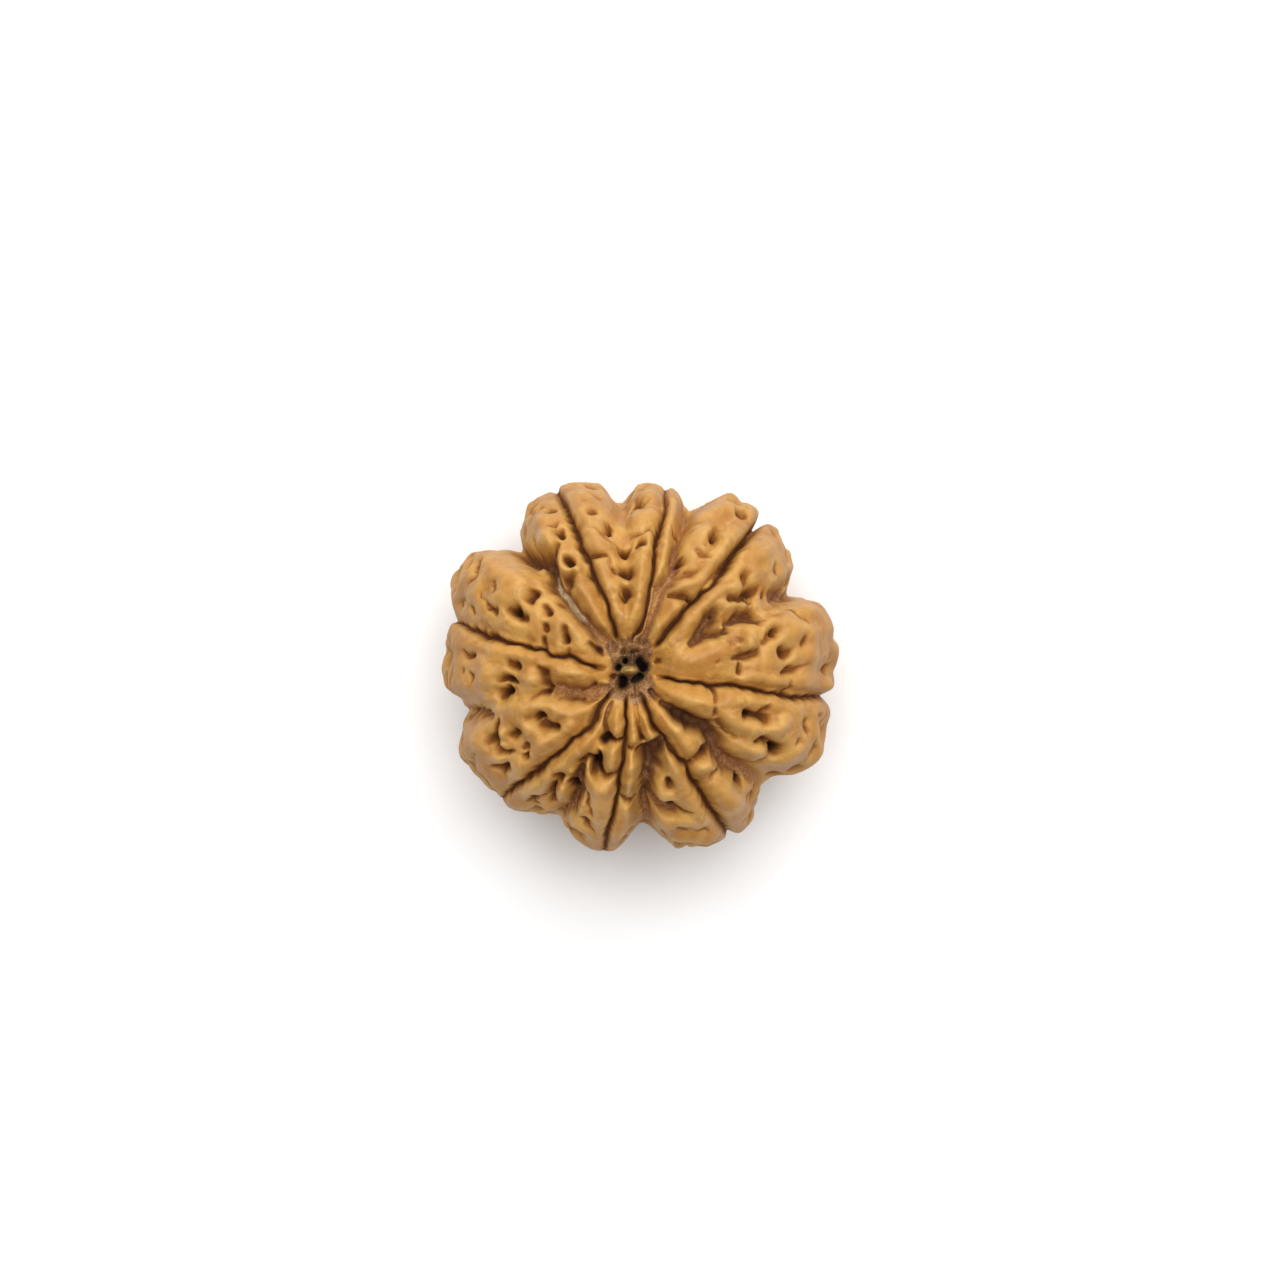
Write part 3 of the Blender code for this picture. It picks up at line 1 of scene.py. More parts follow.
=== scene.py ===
"""A dried eight-faced rudraksha seed, seen from straight above on a pale floor.

The seed is one skin: a grid of columns and rows whose points lie on a plain lobed body and are pushed
in and out by a formula. The columns follow the eight seams, so the grooves stay crisp. Marks are
placed in millimetres about the upper pole, x to the right and y away from the viewer, as they look
from straight above.
"""
import bpy
import numpy as np
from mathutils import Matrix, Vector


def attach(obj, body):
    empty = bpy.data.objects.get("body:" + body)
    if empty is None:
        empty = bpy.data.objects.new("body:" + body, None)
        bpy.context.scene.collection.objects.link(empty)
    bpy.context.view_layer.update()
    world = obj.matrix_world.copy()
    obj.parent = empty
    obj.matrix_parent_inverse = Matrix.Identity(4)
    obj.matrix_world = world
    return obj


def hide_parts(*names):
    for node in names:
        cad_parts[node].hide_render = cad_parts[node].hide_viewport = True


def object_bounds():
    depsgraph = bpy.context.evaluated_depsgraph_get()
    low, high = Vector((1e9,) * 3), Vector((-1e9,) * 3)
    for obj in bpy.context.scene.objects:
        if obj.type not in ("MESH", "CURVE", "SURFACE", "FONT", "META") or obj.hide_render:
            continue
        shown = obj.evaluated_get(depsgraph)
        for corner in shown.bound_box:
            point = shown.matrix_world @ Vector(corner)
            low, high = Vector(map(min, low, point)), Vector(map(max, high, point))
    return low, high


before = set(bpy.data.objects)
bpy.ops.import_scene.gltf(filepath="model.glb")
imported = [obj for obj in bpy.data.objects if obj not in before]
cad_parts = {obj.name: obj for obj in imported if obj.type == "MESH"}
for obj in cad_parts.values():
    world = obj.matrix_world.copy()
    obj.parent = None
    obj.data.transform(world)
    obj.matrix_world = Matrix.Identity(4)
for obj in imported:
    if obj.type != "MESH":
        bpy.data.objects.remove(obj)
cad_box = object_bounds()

NAME = "rudraksha_skin"
NODE = "rudraksha_seed"

# The body's driving sizes, in millimetres unless the name says otherwise
MM = 0.001
HALF_HEIGHT = 9.8
FLAT_SPOT_CUT = 0.3
PROFILE_POWER = 2.3
OUTLINE_EASE_DEG = 1.0
OUTLINE_STEP_DEG = 0.25
CRATER_RADIUS = 2.3
CRATER_DEPTH = 1.25
CRATER_POWER = 4
POLE_DIP_RADIUS = 4.2
POLE_DIP_DEPTH = 0.45
SEAM_DEPTH = 1.0
SEAM_WALL_POWER = 2
SEAM_SPREAD = 1.2
LEAST_SEAM_HALF_WIDTH = 0.09
SEAM_START_RADIUS = 1.5
SEAM_START_LENGTH = 0.9
SEAM_RIM_LOSS = 0.88
SEAM_RIM_POWER = 12
SEAM_SHOULDER_REACH = 1.7
SEAM_SHOULDER_SHARE = 0.55
SHOULDER_REACH = 1.4
SHOULDER_SHARE = 0.5
SHOULDER_POWER = 2.5
SHOULDER_CAP = 1.2
VALLEY_WALL_POWER = 3.2
PIT_WALL_POWER = 2.3
RIDGE_LIFT = 1.5
RIDGE_POWER = 2
LEAN = 0.3
VIEW_DISTANCE = 500
MARK_SHARE_LIMIT = 0.995
SUNK_WIDTH_SHIFT = 0.4
SUNK_DEPTH_SHIFT = 0.3
RAISED_SHIFT = 0.75
LEAST_HALF_WIDTH = 0.1
JOIN_POWER = 6
MERGE_POWER = 4
TINY = 1e-9
STROKE_SPREAD = 1.2
STROKE_REACH = 2.2
FULL_TONE_DEPTH = 0.6
TURN_BELOW = 4

# The grid of the skin
COLUMNS = 440
ROWS_ABOVE = 150
ROWS_BELOW = 75
SEAM_CROWDING = 0.35
POLE_CROWDING = 0.55

# Picture: the camera looks straight down on a square image, from this height over the seed's middle
# in metres, and its sensor is in millimetres
IMAGE_PX = 1280
PX_PER_MM = 16
POLE_PX = (632, 668)
CAMERA_HEIGHT = 0.5
SENSOR = 36.0

# The silhouette from above: x and y of its corners, lobe by lobe, anticlockwise from the right
OUTLINE = [
    (12.5, -1.3), (12.55, -0.8), (12.4, -0.2), (12.65, 0.2), (12.77, 0.7), (12.72, 1.9), (12.85, 2.4),
    (12.72, 2.8), (12.3, 3.35), (12.0, 3.8), (11.6, 4.1), (11.2, 4.2), (10.8, 4.15), (10.15, 3.9),
    (9.7, 4.5), (9.8, 5.2), (9.9, 5.8), (10.15, 6.35), (10.0, 6.75), (9.92, 7.35), (9.7, 7.7), (9.58, 8.15),
    (9.0, 8.7), (8.6, 8.95), (8.15, 8.95), (7.9, 8.7), (7.15, 8.25), (7.95, 9.35), (8.0, 9.75), (7.75, 10.15),
    (7.3, 10.4), (6.8, 10.45), (6.5, 10.7), (6.1, 10.9), (5.5, 10.7), (5.0, 10.55), (4.5, 10.35),
    (4.0, 10.0), (3.5, 9.35), (3.35, 9.7), (3.2, 10.3), (3.0, 10.85), (2.8, 11.1), (2.5, 11.3),
    (2.1, 11.1), (1.9, 11.4), (1.5, 11.65), (1.0, 11.72), (0.5, 11.55), (0.0, 10.95), (-0.55, 10.15),
    (-1.1, 10.3), (-1.5, 10.95), (-2.0, 11.5), (-2.8, 11.75), (-3.6, 11.68), (-4.3, 11.55),
    (-4.58, 11.35), (-4.62, 11.05), (-4.6, 10.7), (-4.75, 10.85), (-5.05, 10.98), (-5.5, 10.8),
    (-6.08, 10.65), (-6.62, 10.32), (-6.8, 9.2), (-6.95, 8.2),
    (-6.8, 7.4), (-6.9, 7.15), (-7.7, 7.32), (-8.3, 7.2), (-9.0, 7.37), (-10.1, 7.25), (-10.6, 6.6),
    (-11.1, 6.0), (-11.35, 5.0), (-11.2, 4.0), (-11.0, 3.05), (-11.4, 2.8), (-11.6, 2.0),
    (-11.65, 1.5), (-11.45, 1.0), (-11.72, 0.3), (-11.77, -0.2), (-11.72, -0.8), (-11.7, -1.2),
    (-11.2, -1.6), (-10.5, -1.95), (-10.6, -2.2), (-10.2, -2.6), (-10.65, -3.3), (-10.7, -3.9),
    (-10.85, -5.0), (-10.7, -5.5), (-10.4, -5.9), (-10.1, -6.1), (-9.9, -6.5), (-9.4, -7.0),
    (-8.9, -7.6), (-8.5, -7.75), (-8.3, -8.1), (-7.8, -8.6), (-7.3, -8.9), (-6.5, -9.0), (-6.0, -8.9),
    (-5.1, -9.2), (-4.5, -9.15), (-4.4, -9.6), (-3.8, -10.5), (-2.9, -11.0), (-2.3, -11.25),
    (-1.7, -11.5), (-1.1, -11.4), (-0.5, -10.9), (0.0, -10.3), (0.4, -9.85), (0.9, -9.8), (1.3, -10.0),
    (1.9, -10.5), (2.4, -11.1), (2.8, -11.35), (3.5, -11.3), (4.0, -11.2), (4.7, -11.4), (5.2, -11.1),
    (5.7, -10.7), (5.95, -10.3), (5.9, -10.05), (6.5, -10.2), (6.9, -10.0), (7.5, -9.4), (7.65, -9.0),
    (7.6, -8.6), (7.8, -8.4), (8.05, -7.7), (7.95, -7.35), (8.3, -7.0), (8.7, -6.75),
    (9.2, -6.65), (9.8, -6.65),
    (10.4, -6.5), (11.0, -6.2), (11.5, -5.8), (11.9, -5.2), (12.15, -4.5), (12.15, -3.5),
    (12.4, -2.8), (12.35, -2.4), (11.8, -1.7),
]

# The eight seams, anticlockwise from the right: x, y and half-width from the crater to the rim
SEAMS = [
    [(1.5, -0.45, 0.08), (2.4, -0.65, 0.1), (3.8, -0.9, 0.08), (4.9, -1.1, 0.13), (6.0, -1.05, 0.1),
     (7.5, -1.3, 0.12), (8.9, -1.6, 0.08), (9.7, -1.75, 0.16), (10.5, -1.95, 0.13), (11.7, -1.75, 0.1)],
    [(1.3, 1.3, 0.1), (2.0, 2.0, 0.16), (2.8, 3.0, 0.16), (3.5, 3.8, 0.17), (4.2, 4.5, 0.14),
     (5.0, 5.15, 0.1), (5.55, 5.9, 0.15), (6.1, 6.9, 0.17), (6.7, 7.5, 0.17), (7.3, 8.4, 0.14)],
    [(-0.1, 1.7, 0.12), (0.4, 2.3, 0.12), (0.85, 3.4, 0.14), (1.05, 4.4, 0.13), (1.2, 5.3, 0.13),
     (1.35, 6.4, 0.1), (1.45, 7.6, 0.1), (1.65, 8.4, 0.16), (1.9, 9.3, 0.12), (2.17, 10.2, 0.1),
     (2.1, 11.1, 0.1)],
    [(-0.95, 2.0, 0.16), (-1.2, 3.0, 0.14), (-1.5, 4.0, 0.1), (-1.8, 4.7, 0.1), (-2.4, 5.7, 0.2),
     (-2.6, 6.7, 0.12), (-3.1, 7.45, 0.17), (-3.35, 8.3, 0.17), (-3.95, 9.7, 0.14), (-4.2, 10.3, 0.17),
     (-4.55, 10.8, 0.15)],
    [(-1.9, 0.0, 0.1), (-2.5, 0.1, 0.12), (-3.2, 0.45, 0.12), (-4.0, 0.75, 0.17), (-5.0, 0.8, 0.1),
     (-5.6, 1.15, 0.12), (-6.8, 1.4, 0.07), (-7.8, 1.65, 0.1), (-8.6, 1.9, 0.2), (-9.4, 2.1, 0.2),
     (-10.2, 2.45, 0.14), (-10.9, 2.85, 0.1)],
    [(-1.4, -1.6, 0.1), (-2.1, -2.5, 0.2), (-2.4, -3.3, 0.16), (-2.9, -4.0, 0.16), (-3.7, -4.4, 0.1),
     (-4.2, -5.0, 0.12), (-5.3, -5.8, 0.1), (-6.0, -6.5, 0.18), (-6.8, -7.1, 0.12), (-7.5, -7.6, 0.16),
     (-8.0, -8.0, 0.1)],
    [(-0.4, -2.1, 0.08), (-0.37, -3.4, 0.08), (-0.45, -4.6, 0.18), (-0.55, -5.6, 0.12),
     (-0.8, -6.6, 0.13), (-0.85, -7.8, 0.1), (-1.1, -8.8, 0.12), (-1.35, -9.8, 0.13),
     (-1.6, -10.6, 0.16), (-1.7, -11.3, 0.17)],
    [(0.8, -2.2, 0.1), (1.5, -3.85, 0.16), (2.0, -4.4, 0.12), (2.9, -5.6, 0.12), (3.45, -6.1, 0.15),
     (3.6, -6.8, 0.13), (4.2, -7.5, 0.15), (4.7, -8.5, 0.16), (5.2, -9.2, 0.15), (5.7, -9.9, 0.16)],
]

# The floors of the valleys between the lobes: x, y, half-width and depth along each
VALLEYS = [
    [(3.75, 1.55, 0.16, 1.0), (4.2, 2.0, 0.3, 1.4), (4.65, 2.5, 0.42, 1.5), (4.85, 3.1, 0.34, 1.2),
     (5.2, 3.6, 0.22, 0.8)],
    [(4.7, 2.15, 0.25, 1.4), (5.2, 2.1, 0.16, 1.2), (5.7, 2.25, 0.14, 1.0), (5.9, 2.75, 0.14, 0.7)],
    [(6.15, 2.85, 0.16, 0.8), (6.6, 3.2, 0.32, 1.3), (7.2, 3.15, 0.38, 1.4), (7.85, 2.85, 0.16, 1.1),
     (8.3, 3.15, 0.07, 0.4)],
    [(6.15, 2.1, 0.35, 0.3), (6.9, 2.15, 0.3, 0.25)],
    [(6.4, 1.7, 0.25, 0.5), (6.8, 1.85, 0.2, 0.45)],
    [(8.6, 4.55, 0.3, 0.8), (9.2, 4.6, 0.4, 0.8), (9.7, 4.45, 0.35, 0.5)],
    [(3.5, 9.4, 0.2, 0.3), (3.15, 8.2, 0.14, 0.4), (2.75, 7.4, 0.22, 0.7), (2.6, 6.2, 0.36, 0.9),
     (2.25, 5.4, 0.36, 0.9), (1.7, 4.8, 0.46, 0.8), (1.5, 4.1, 0.38, 0.75), (1.25, 3.3, 0.26, 0.7),
     (0.98, 2.6, 0.2, 0.7), (0.72, 1.9, 0.26, 0.7)],
    [(-7.2, 7.25, 0.3, 1.0), (-6.2, 6.75, 0.38, 1.7), (-5.1, 6.65, 0.42, 2.0), (-4.9, 5.9, 0.42, 1.8),
     (-4.65, 5.1, 0.4, 1.7), (-4.1, 4.5, 0.34, 1.6), (-3.6, 3.75, 0.34, 1.5), (-2.9, 3.0, 0.32, 1.5),
     (-2.2, 2.2, 0.34, 1.1), (-1.6, 1.5, 0.5, 0.7)],
    [(-1.6, -1.4, 0.25, 0.5), (-2.6, -1.55, 0.38, 1.0), (-3.8, -1.55, 0.42, 1.2), (-4.7, -1.3, 0.36, 0.9)],
    [(-8.8, -3.0, 0.16, 0.8), (-9.15, -2.85, 0.2, 1.1), (-9.7, -2.65, 0.14, 0.5), (-10.2, -2.5, 0.15, 0.2)],
    [(-3.15, -6.2, 0.18, 1.3), (-3.35, -7.0, 0.36, 1.5), (-3.25, -7.6, 0.34, 1.4), (-3.6, -8.2, 0.36, 1.5),
     (-3.75, -8.8, 0.28, 1.0), (-4.2, -8.95, 0.2, 0.4)],
    [(-1.35, -2.2, 0.1, 0.6), (-1.7, -3.2, 0.1, 0.7), (-1.6, -4.1, 0.14, 1.0)],
    [(1.95, -4.6, 0.28, 1.5), (1.6, -4.95, 0.4, 1.9), (1.15, -5.45, 0.6, 2.2), (1.2, -6.0, 0.55, 2.1),
     (0.95, -6.8, 0.4, 1.7),
     (0.95, -7.6, 0.36, 1.5), (0.75, -8.2, 0.26, 1.6), (0.95, -9.1, 0.3, 0.6), (0.9, -9.7, 0.3, 0.1)],
    [(0.9, -8.0, 0.4, 1.2), (1.45, -8.35, 0.55, 1.1), (2.0, -8.75, 0.5, 1.1), (2.6, -9.0, 0.24, 0.9)],
    [(1.2, -1.5, 0.12, 0.8), (2.0, -2.25, 0.15, 1.2), (2.8, -2.85, 0.33, 2.2), (3.6, -3.3, 0.44, 2.4),
     (4.7, -3.6, 0.44, 2.1), (5.1, -4.3, 0.48, 1.9), (5.4, -5.2, 0.42, 1.7), (5.9, -6.0, 0.42, 1.4),
     (6.9, -6.4, 0.5, 0.8), (7.8, -7.0, 0.35, 0.2)],
]

# Pits, cracks and creases: x, y, half-width and depth along each
CUTS = [
    # Upper half of the lobe to the left
    [(-9.42, 6.55, 0.15, 0.8), (-9.57, 6.1, 0.15, 0.9)],
    [(-9.6, 5.9, 0.1, 0.3), (-9.85, 5.6, 0.12, 0.3), (-10.2, 5.4, 0.12, 0.3)],
    [(-8.55, 5.35, 0.12, 0.35), (-8.52, 4.85, 0.14, 0.35)],
    [(-8.95, 5.05, 0.35, 0.22)],
    [(-9.4, 4.48, 0.07, 0.4)],
    [(-9.3, 4.25, 0.06, 0.3), (-9.0, 4.1, 0.06, 0.2)],
    [(-6.35, 4.3, 0.2, 1.1), (-6.05, 4.65, 0.2, 1.3)],
    [(-7.5, 3.7, 0.2, 1.1), (-7.25, 3.55, 0.27, 1.5), (-6.95, 3.25, 0.22, 0.9), (-6.65, 3.1, 0.17, 0.7)],
    [(-8.95, 3.87, 0.14, 0.8), (-8.5, 3.6, 0.18, 1.0)],
    [(-10.15, 3.85, 0.08, 0.5), (-9.93, 3.65, 0.1, 0.7)],
    [(-10.7, 4.5, 0.07, 0.3), (-10.55, 4.25, 0.08, 0.3)],
    [(-5.35, 3.8, 0.14, 0.9), (-5.17, 3.45, 0.15, 1.1)],
    [(-5.4, 2.68, 0.14, 0.8), (-5.38, 2.45, 0.14, 0.9)],
    [(-5.48, 1.2, 0.12, 0.9), (-5.52, 1.9, 0.12, 0.8)],
    [(-4.25, 2.5, 0.15, 0.6), (-4.1, 1.8, 0.15, 1.2)],
    [(-4.0, 0.9, 0.09, 0.6), (-3.98, 1.25, 0.07, 0.3)],
    [(-2.55, 1.6, 0.15, 0.7), (-2.15, 1.25, 0.22, 1.1), (-1.9, 0.95, 0.12, 0.6)],
    [(-4.6, 4.05, 0.16, 0.6), (-4.25, 3.85, 0.16, 0.7)],
    # Left half of the lobe at the upper left
    [(-5.25, 9.82, 0.15, 0.6), (-5.0, 9.7, 0.18, 1.0)],
    [(-5.72, 10.05, 0.13, 0.4)],
    [(-6.35, 9.87, 0.08, 0.3), (-6.2, 9.72, 0.08, 0.4)],
    [(-5.2, 8.85, 0.07, 0.3), (-4.85, 8.87, 0.11, 0.5), (-4.68, 9.2, 0.08, 0.3)],
    [(-4.52, 8.45, 0.2, 1.1), (-4.4, 8.15, 0.17, 1.2)],
    [(-6.15, 8.15, 0.1, 0.3), (-6.1, 7.7, 0.12, 0.4), (-5.65, 7.05, 0.1, 0.5)],
    [(-4.6, 7.7, 0.14, 0.5), (-4.8, 7.2, 0.18, 0.9), (-4.95, 6.85, 0.2, 1.2)],
    [(-4.05, 6.8, 0.19, 1.2), (-3.85, 6.62, 0.18, 1.2)],
    [(-3.8, 5.85, 0.25, 0.7), (-4.0, 5.45, 0.36, 0.9), (-4.1, 5.1, 0.22, 0.7)],
    # Right half of the same lobe and the row of pits beyond it
    [(-2.5, 9.6, 0.19, 0.7)],
    [(-1.43, 8.78, 0.16, 1.0), (-1.52, 8.45, 0.17, 1.3)],
    [(-2.45, 10.72, 0.07, 0.25), (-2.05, 10.5, 0.07, 0.25)],
    [(-2.95, 10.35, 0.16, 0.2)],
    [(-2.6, 8.8, 0.08, 0.15), (-1.95, 8.5, 0.1, 0.3), (-1.35, 7.95, 0.1, 0.3), (-0.95, 7.65, 0.1, 0.3)],
    [(-2.85, 7.05, 0.15, 0.9), (-2.3, 7.07, 0.14, 0.8), (-1.65, 7.1, 0.11, 0.5)],
    [(-1.45, 6.95, 0.08, 0.3), (-1.35, 6.4, 0.1, 0.4), (-1.05, 6.05, 0.12, 0.6)],
    [(-0.78, 7.2, 0.17, 0.7), (-0.5, 7.08, 0.24, 1.0), (-0.15, 7.45, 0.13, 0.5)],
    [(-0.85, 6.0, 0.13, 0.6), (-0.5, 5.92, 0.2, 1.0), (-0.12, 5.85, 0.2, 1.0), (-0.1, 6.2, 0.15, 0.6)],
    [(-0.78, 4.75, 0.08, 0.4), (-0.45, 4.3, 0.13, 0.9), (-0.25, 4.6, 0.22, 1.0), (-0.35, 4.75, 0.25, 0.9)],
    # Left half of the lobe at the top
    [(0.35, 7.65, 0.13, 0.7), (0.6, 7.85, 0.17, 1.0)],
    [(-0.1, 7.8, 0.08, 0.3), (-0.1, 8.2, 0.07, 0.3), (0.35, 8.42, 0.09, 0.35), (0.85, 8.68, 0.09, 0.35),
     (1.2, 8.7, 0.08, 0.35), (1.52, 8.4, 0.08, 0.4)],
    [(0.3, 10.65, 0.1, 0.3), (0.35, 10.2, 0.19, 1.2), (0.62, 10.1, 0.12, 0.9), (1.1, 10.6, 0.08, 0.2)],
    [(-0.15, 9.85, 0.1, 0.4), (0.1, 9.75, 0.07, 0.3)],
    # Right half of the lobe at the top
    [(2.5, 8.75, 0.08, 0.3), (2.6, 8.3, 0.12, 0.5), (2.9, 8.08, 0.14, 0.5)],
    [(2.9, 7.75, 0.12, 0.5)],
    [(3.12, 7.0, 0.11, 0.8), (2.92, 6.6, 0.24, 1.3)],
    [(2.9, 5.75, 0.24, 0.6), (3.5, 5.9, 0.28, 0.6), (4.05, 6.1, 0.16, 0.3)],
    [(3.3, 8.5, 0.08, 0.3), (3.7, 8.9, 0.08, 0.3), (4.3, 9.05, 0.06, 0.2)],
    [(1.4, 5.3, 0.12, 0.6), (2.2, 5.3, 0.12, 0.6)],
    # Left half of the lobe at the upper right
    [(2.35, 4.62, 0.13, 0.7), (3.0, 4.52, 0.15, 0.9), (3.6, 4.36, 0.15, 1.0), (3.85, 4.2, 0.18, 1.0)],
    [(5.3, 8.75, 0.12, 0.3), (5.12, 8.4, 0.13, 0.9), (5.02, 7.95, 0.17, 1.3)],
    [(4.63, 7.76, 0.06, 0.3)],
    [(4.05, 7.5, 0.1, 0.35), (4.4, 7.12, 0.12, 0.4), (4.8, 7.0, 0.1, 0.35)],
    [(6.4, 9.75, 0.09, 0.4), (6.65, 9.42, 0.15, 0.9), (6.95, 9.42, 0.16, 0.8)],
    [(7.26, 9.1, 0.06, 0.3)],
    # Right half of the same lobe
    [(8.9, 6.45, 0.09, 0.5), (8.88, 6.1, 0.1, 0.7), (9.1, 5.8, 0.06, 0.3)],
    [(7.3, 6.1, 0.14, 0.3), (7.0, 5.7, 0.2, 0.6), (7.1, 5.3, 0.2, 0.6)],
    [(7.0, 4.55, 0.2, 0.9), (7.4, 4.75, 0.24, 1.1), (7.95, 5.0, 0.12, 0.6)],
    [(6.15, 4.45, 0.2, 0.8), (6.6, 4.35, 0.15, 0.8), (7.2, 4.35, 0.15, 0.9), (7.4, 4.1, 0.14, 0.7)],
    [(8.2, 4.78, 0.11, 0.7), (8.15, 4.5, 0.15, 0.9)],
    [(8.6, 4.85, 0.08, 0.3), (9.0, 5.15, 0.1, 0.4), (9.4, 5.4, 0.07, 0.3)],
    [(5.1, 3.35, 0.16, 1.2)],
    [(5.3, 3.65, 0.2, 0.25)],
    # Upper half of the lobe to the right
    [(1.6, 0.35, 0.1, 0.5), (1.78, 0.5, 0.13, 0.7)],
    [(5.4, 0.3, 0.1, 0.3)],
    [(6.4, 0.55, 0.1, 0.5), (6.85, 0.8, 0.17, 0.8), (7.3, 0.92, 0.2, 0.9),
     (7.75, 0.95, 0.14, 0.7), (7.95, 1.25, 0.1, 0.4)],
    [(6.75, 0.4, 0.07, 0.5), (6.72, -0.2, 0.14, 0.9)],
    [(8.92, 2.45, 0.12, 1.1), (8.78, 2.18, 0.17, 1.3)],
    [(8.6, 2.0, 0.14, 0.5), (8.2, 1.6, 0.14, 0.4)],
    [(10.7, 1.85, 0.11, 0.8), (10.62, 1.6, 0.11, 0.8)],
    [(9.4, 1.05, 0.25, 0.9), (9.6, 0.95, 0.25, 1.0), (10.0, 1.2, 0.12, 0.4)],
    [(9.4, -0.32, 0.09, 0.5), (9.7, -0.1, 0.14, 0.8), (10.1, -0.05, 0.13, 0.7), (10.5, 0.1, 0.08, 0.5),
     (11.0, 0.35, 0.05, 0.3)],
    [(12.0, 0.0, 0.08, 0.35), (12.3, 0.35, 0.06, 0.25), (12.5, 0.7, 0.05, 0.2)],
    [(10.0, -0.9, 0.06, 0.3), (9.9, -1.3, 0.1, 0.5), (9.6, -1.55, 0.1, 0.7)],
    [(6.6, -0.87, 0.05, 0.2)],
    [(8.05, -1.05, 0.05, 0.2)],
    [(10.0, 3.6, 0.12, 0.3), (10.5, 3.2, 0.1, 0.25), (11.0, 2.9, 0.08, 0.2)],
    # Lower half of the same lobe
    [(5.15, -1.2, 0.16, 1.0), (5.25, -1.7, 0.09, 0.8), (5.25, -2.3, 0.07, 0.3), (5.2, -2.9, 0.1, 0.6)],
    [(7.15, -2.85, 0.2, 1.4), (7.4, -2.9, 0.18, 1.3), (7.9, -3.0, 0.15, 1.0), (8.3, -3.15, 0.24, 1.1)],
    [(8.2, -2.8, 0.15, 0.6), (8.5, -2.5, 0.14, 0.4)],
    [(10.86, -3.2, 0.09, 0.5), (10.82, -3.6, 0.13, 0.9), (11.0, -4.0, 0.08, 0.6)],
    [(10.25, -4.65, 0.07, 0.4), (10.38, -4.5, 0.1, 0.5), (10.8, -4.65, 0.05, 0.15)],
    [(7.75, -4.65, 0.08, 0.7), (8.2, -4.42, 0.17, 1.2), (8.6, -4.6, 0.16, 1.1)],
    [(8.8, -4.8, 0.2, 1.4), (9.0, -5.1, 0.34, 1.7)],
    [(5.4, -3.3, 0.15, 0.9), (5.9, -3.95, 0.14, 0.9), (6.3, -4.25, 0.1, 0.6), (6.7, -4.37, 0.08, 0.3)],
    [(6.1, -5.65, 0.12, 0.6), (6.8, -5.92, 0.12, 0.5), (7.6, -5.95, 0.12, 0.4), (8.4, -5.6, 0.12, 0.6)],
    [(11.66, -2.95, 0.15, 0.2)],
    [(10.8, -5.9, 0.08, 0.2), (11.4, -5.4, 0.08, 0.25)],
    # Left half of the lobe at the lower right
    [(6.55, -6.95, 0.19, 1.6), (6.85, -7.15, 0.19, 1.6)],
    [(3.5, -6.05, 0.1, 0.9), (3.85, -5.7, 0.13, 0.8), (4.2, -5.45, 0.18, 1.0), (4.5, -5.2, 0.28, 1.1),
     (4.85, -5.05, 0.35, 1.0)],
    [(5.5, -6.35, 0.1, 0.6), (5.05, -6.6, 0.09, 0.5), (4.85, -7.0, 0.06, 0.3)],
    [(7.4, -8.6, 0.1, 0.3), (7.6, -8.0, 0.14, 0.4)],
    # Right half of the same lobe
    [(2.3, -6.95, 0.12, 0.8), (2.36, -7.3, 0.16, 1.1)],
    [(2.3, -8.6, 0.28, 1.9), (2.5, -8.85, 0.22, 1.4)],
    [(2.8, -8.85, 0.13, 0.9), (3.2, -9.0, 0.12, 0.7), (3.7, -9.05, 0.08, 0.3)],
    [(3.0, -9.98, 0.08, 0.4), (3.3, -10.1, 0.1, 0.4)],
    [(4.1, -10.25, 0.06, 0.25), (4.5, -10.05, 0.1, 0.4), (4.8, -10.25, 0.06, 0.25)],
    # Right half of the lobe at the bottom
    [(0.25, -2.4, 0.05, 0.3), (0.35, -3.3, 0.06, 0.4), (0.5, -4.1, 0.11, 0.8), (0.7, -4.5, 0.17, 1.1)],
    [(0.3, -5.15, 0.14, 0.8), (0.7, -5.0, 0.15, 1.2), (1.3, -5.0, 0.12, 1.2)],
    [(-0.75, -8.1, 0.1, 0.8), (-0.4, -8.35, 0.08, 0.6), (0.0, -8.27, 0.08, 0.6), (0.25, -8.0, 0.1, 0.8)],
    [(-0.25, -5.1, 0.1, 0.8), (0.0, -5.1, 0.08, 0.5)],
    # Left half of the same lobe
    [(-1.75, -4.55, 0.18, 1.5), (-1.45, -4.35, 0.2, 1.4), (-1.0, -4.52, 0.1, 1.0), (-0.65, -4.5, 0.15, 1.2)],
    [(-2.05, -5.3, 0.14, 1.1), (-2.15, -5.95, 0.28, 1.7), (-2.0, -6.4, 0.2, 1.4), (-1.6, -6.75, 0.1, 0.9),
     (-1.2, -6.66, 0.08, 0.9), (-0.95, -6.6, 0.1, 0.9)],
    [(-2.35, -6.5, 0.24, 1.1), (-2.3, -5.7, 0.2, 1.2), (-2.7, -5.5, 0.14, 0.9), (-3.2, -5.85, 0.18, 1.1)],
    [(-2.8, -7.9, 0.1, 0.7), (-2.75, -8.5, 0.09, 0.6), (-2.5, -9.2, 0.07, 0.4)],
    [(-3.45, -8.4, 0.14, 1.0), (-3.6, -9.0, 0.12, 0.8)],
    [(-3.08, -9.5, 0.1, 0.7), (-2.85, -9.48, 0.14, 1.0), (-2.75, -9.9, 0.12, 0.7), (-2.5, -10.2, 0.08, 0.4)],
    # Right half of the lobe at the lower left
    [(-4.5, -6.72, 0.19, 1.2), (-4.5, -7.0, 0.15, 1.0)],
    [(-3.9, -7.1, 0.14, 1.2), (-3.6, -7.3, 0.2, 1.5), (-3.5, -7.9, 0.2, 1.4)],
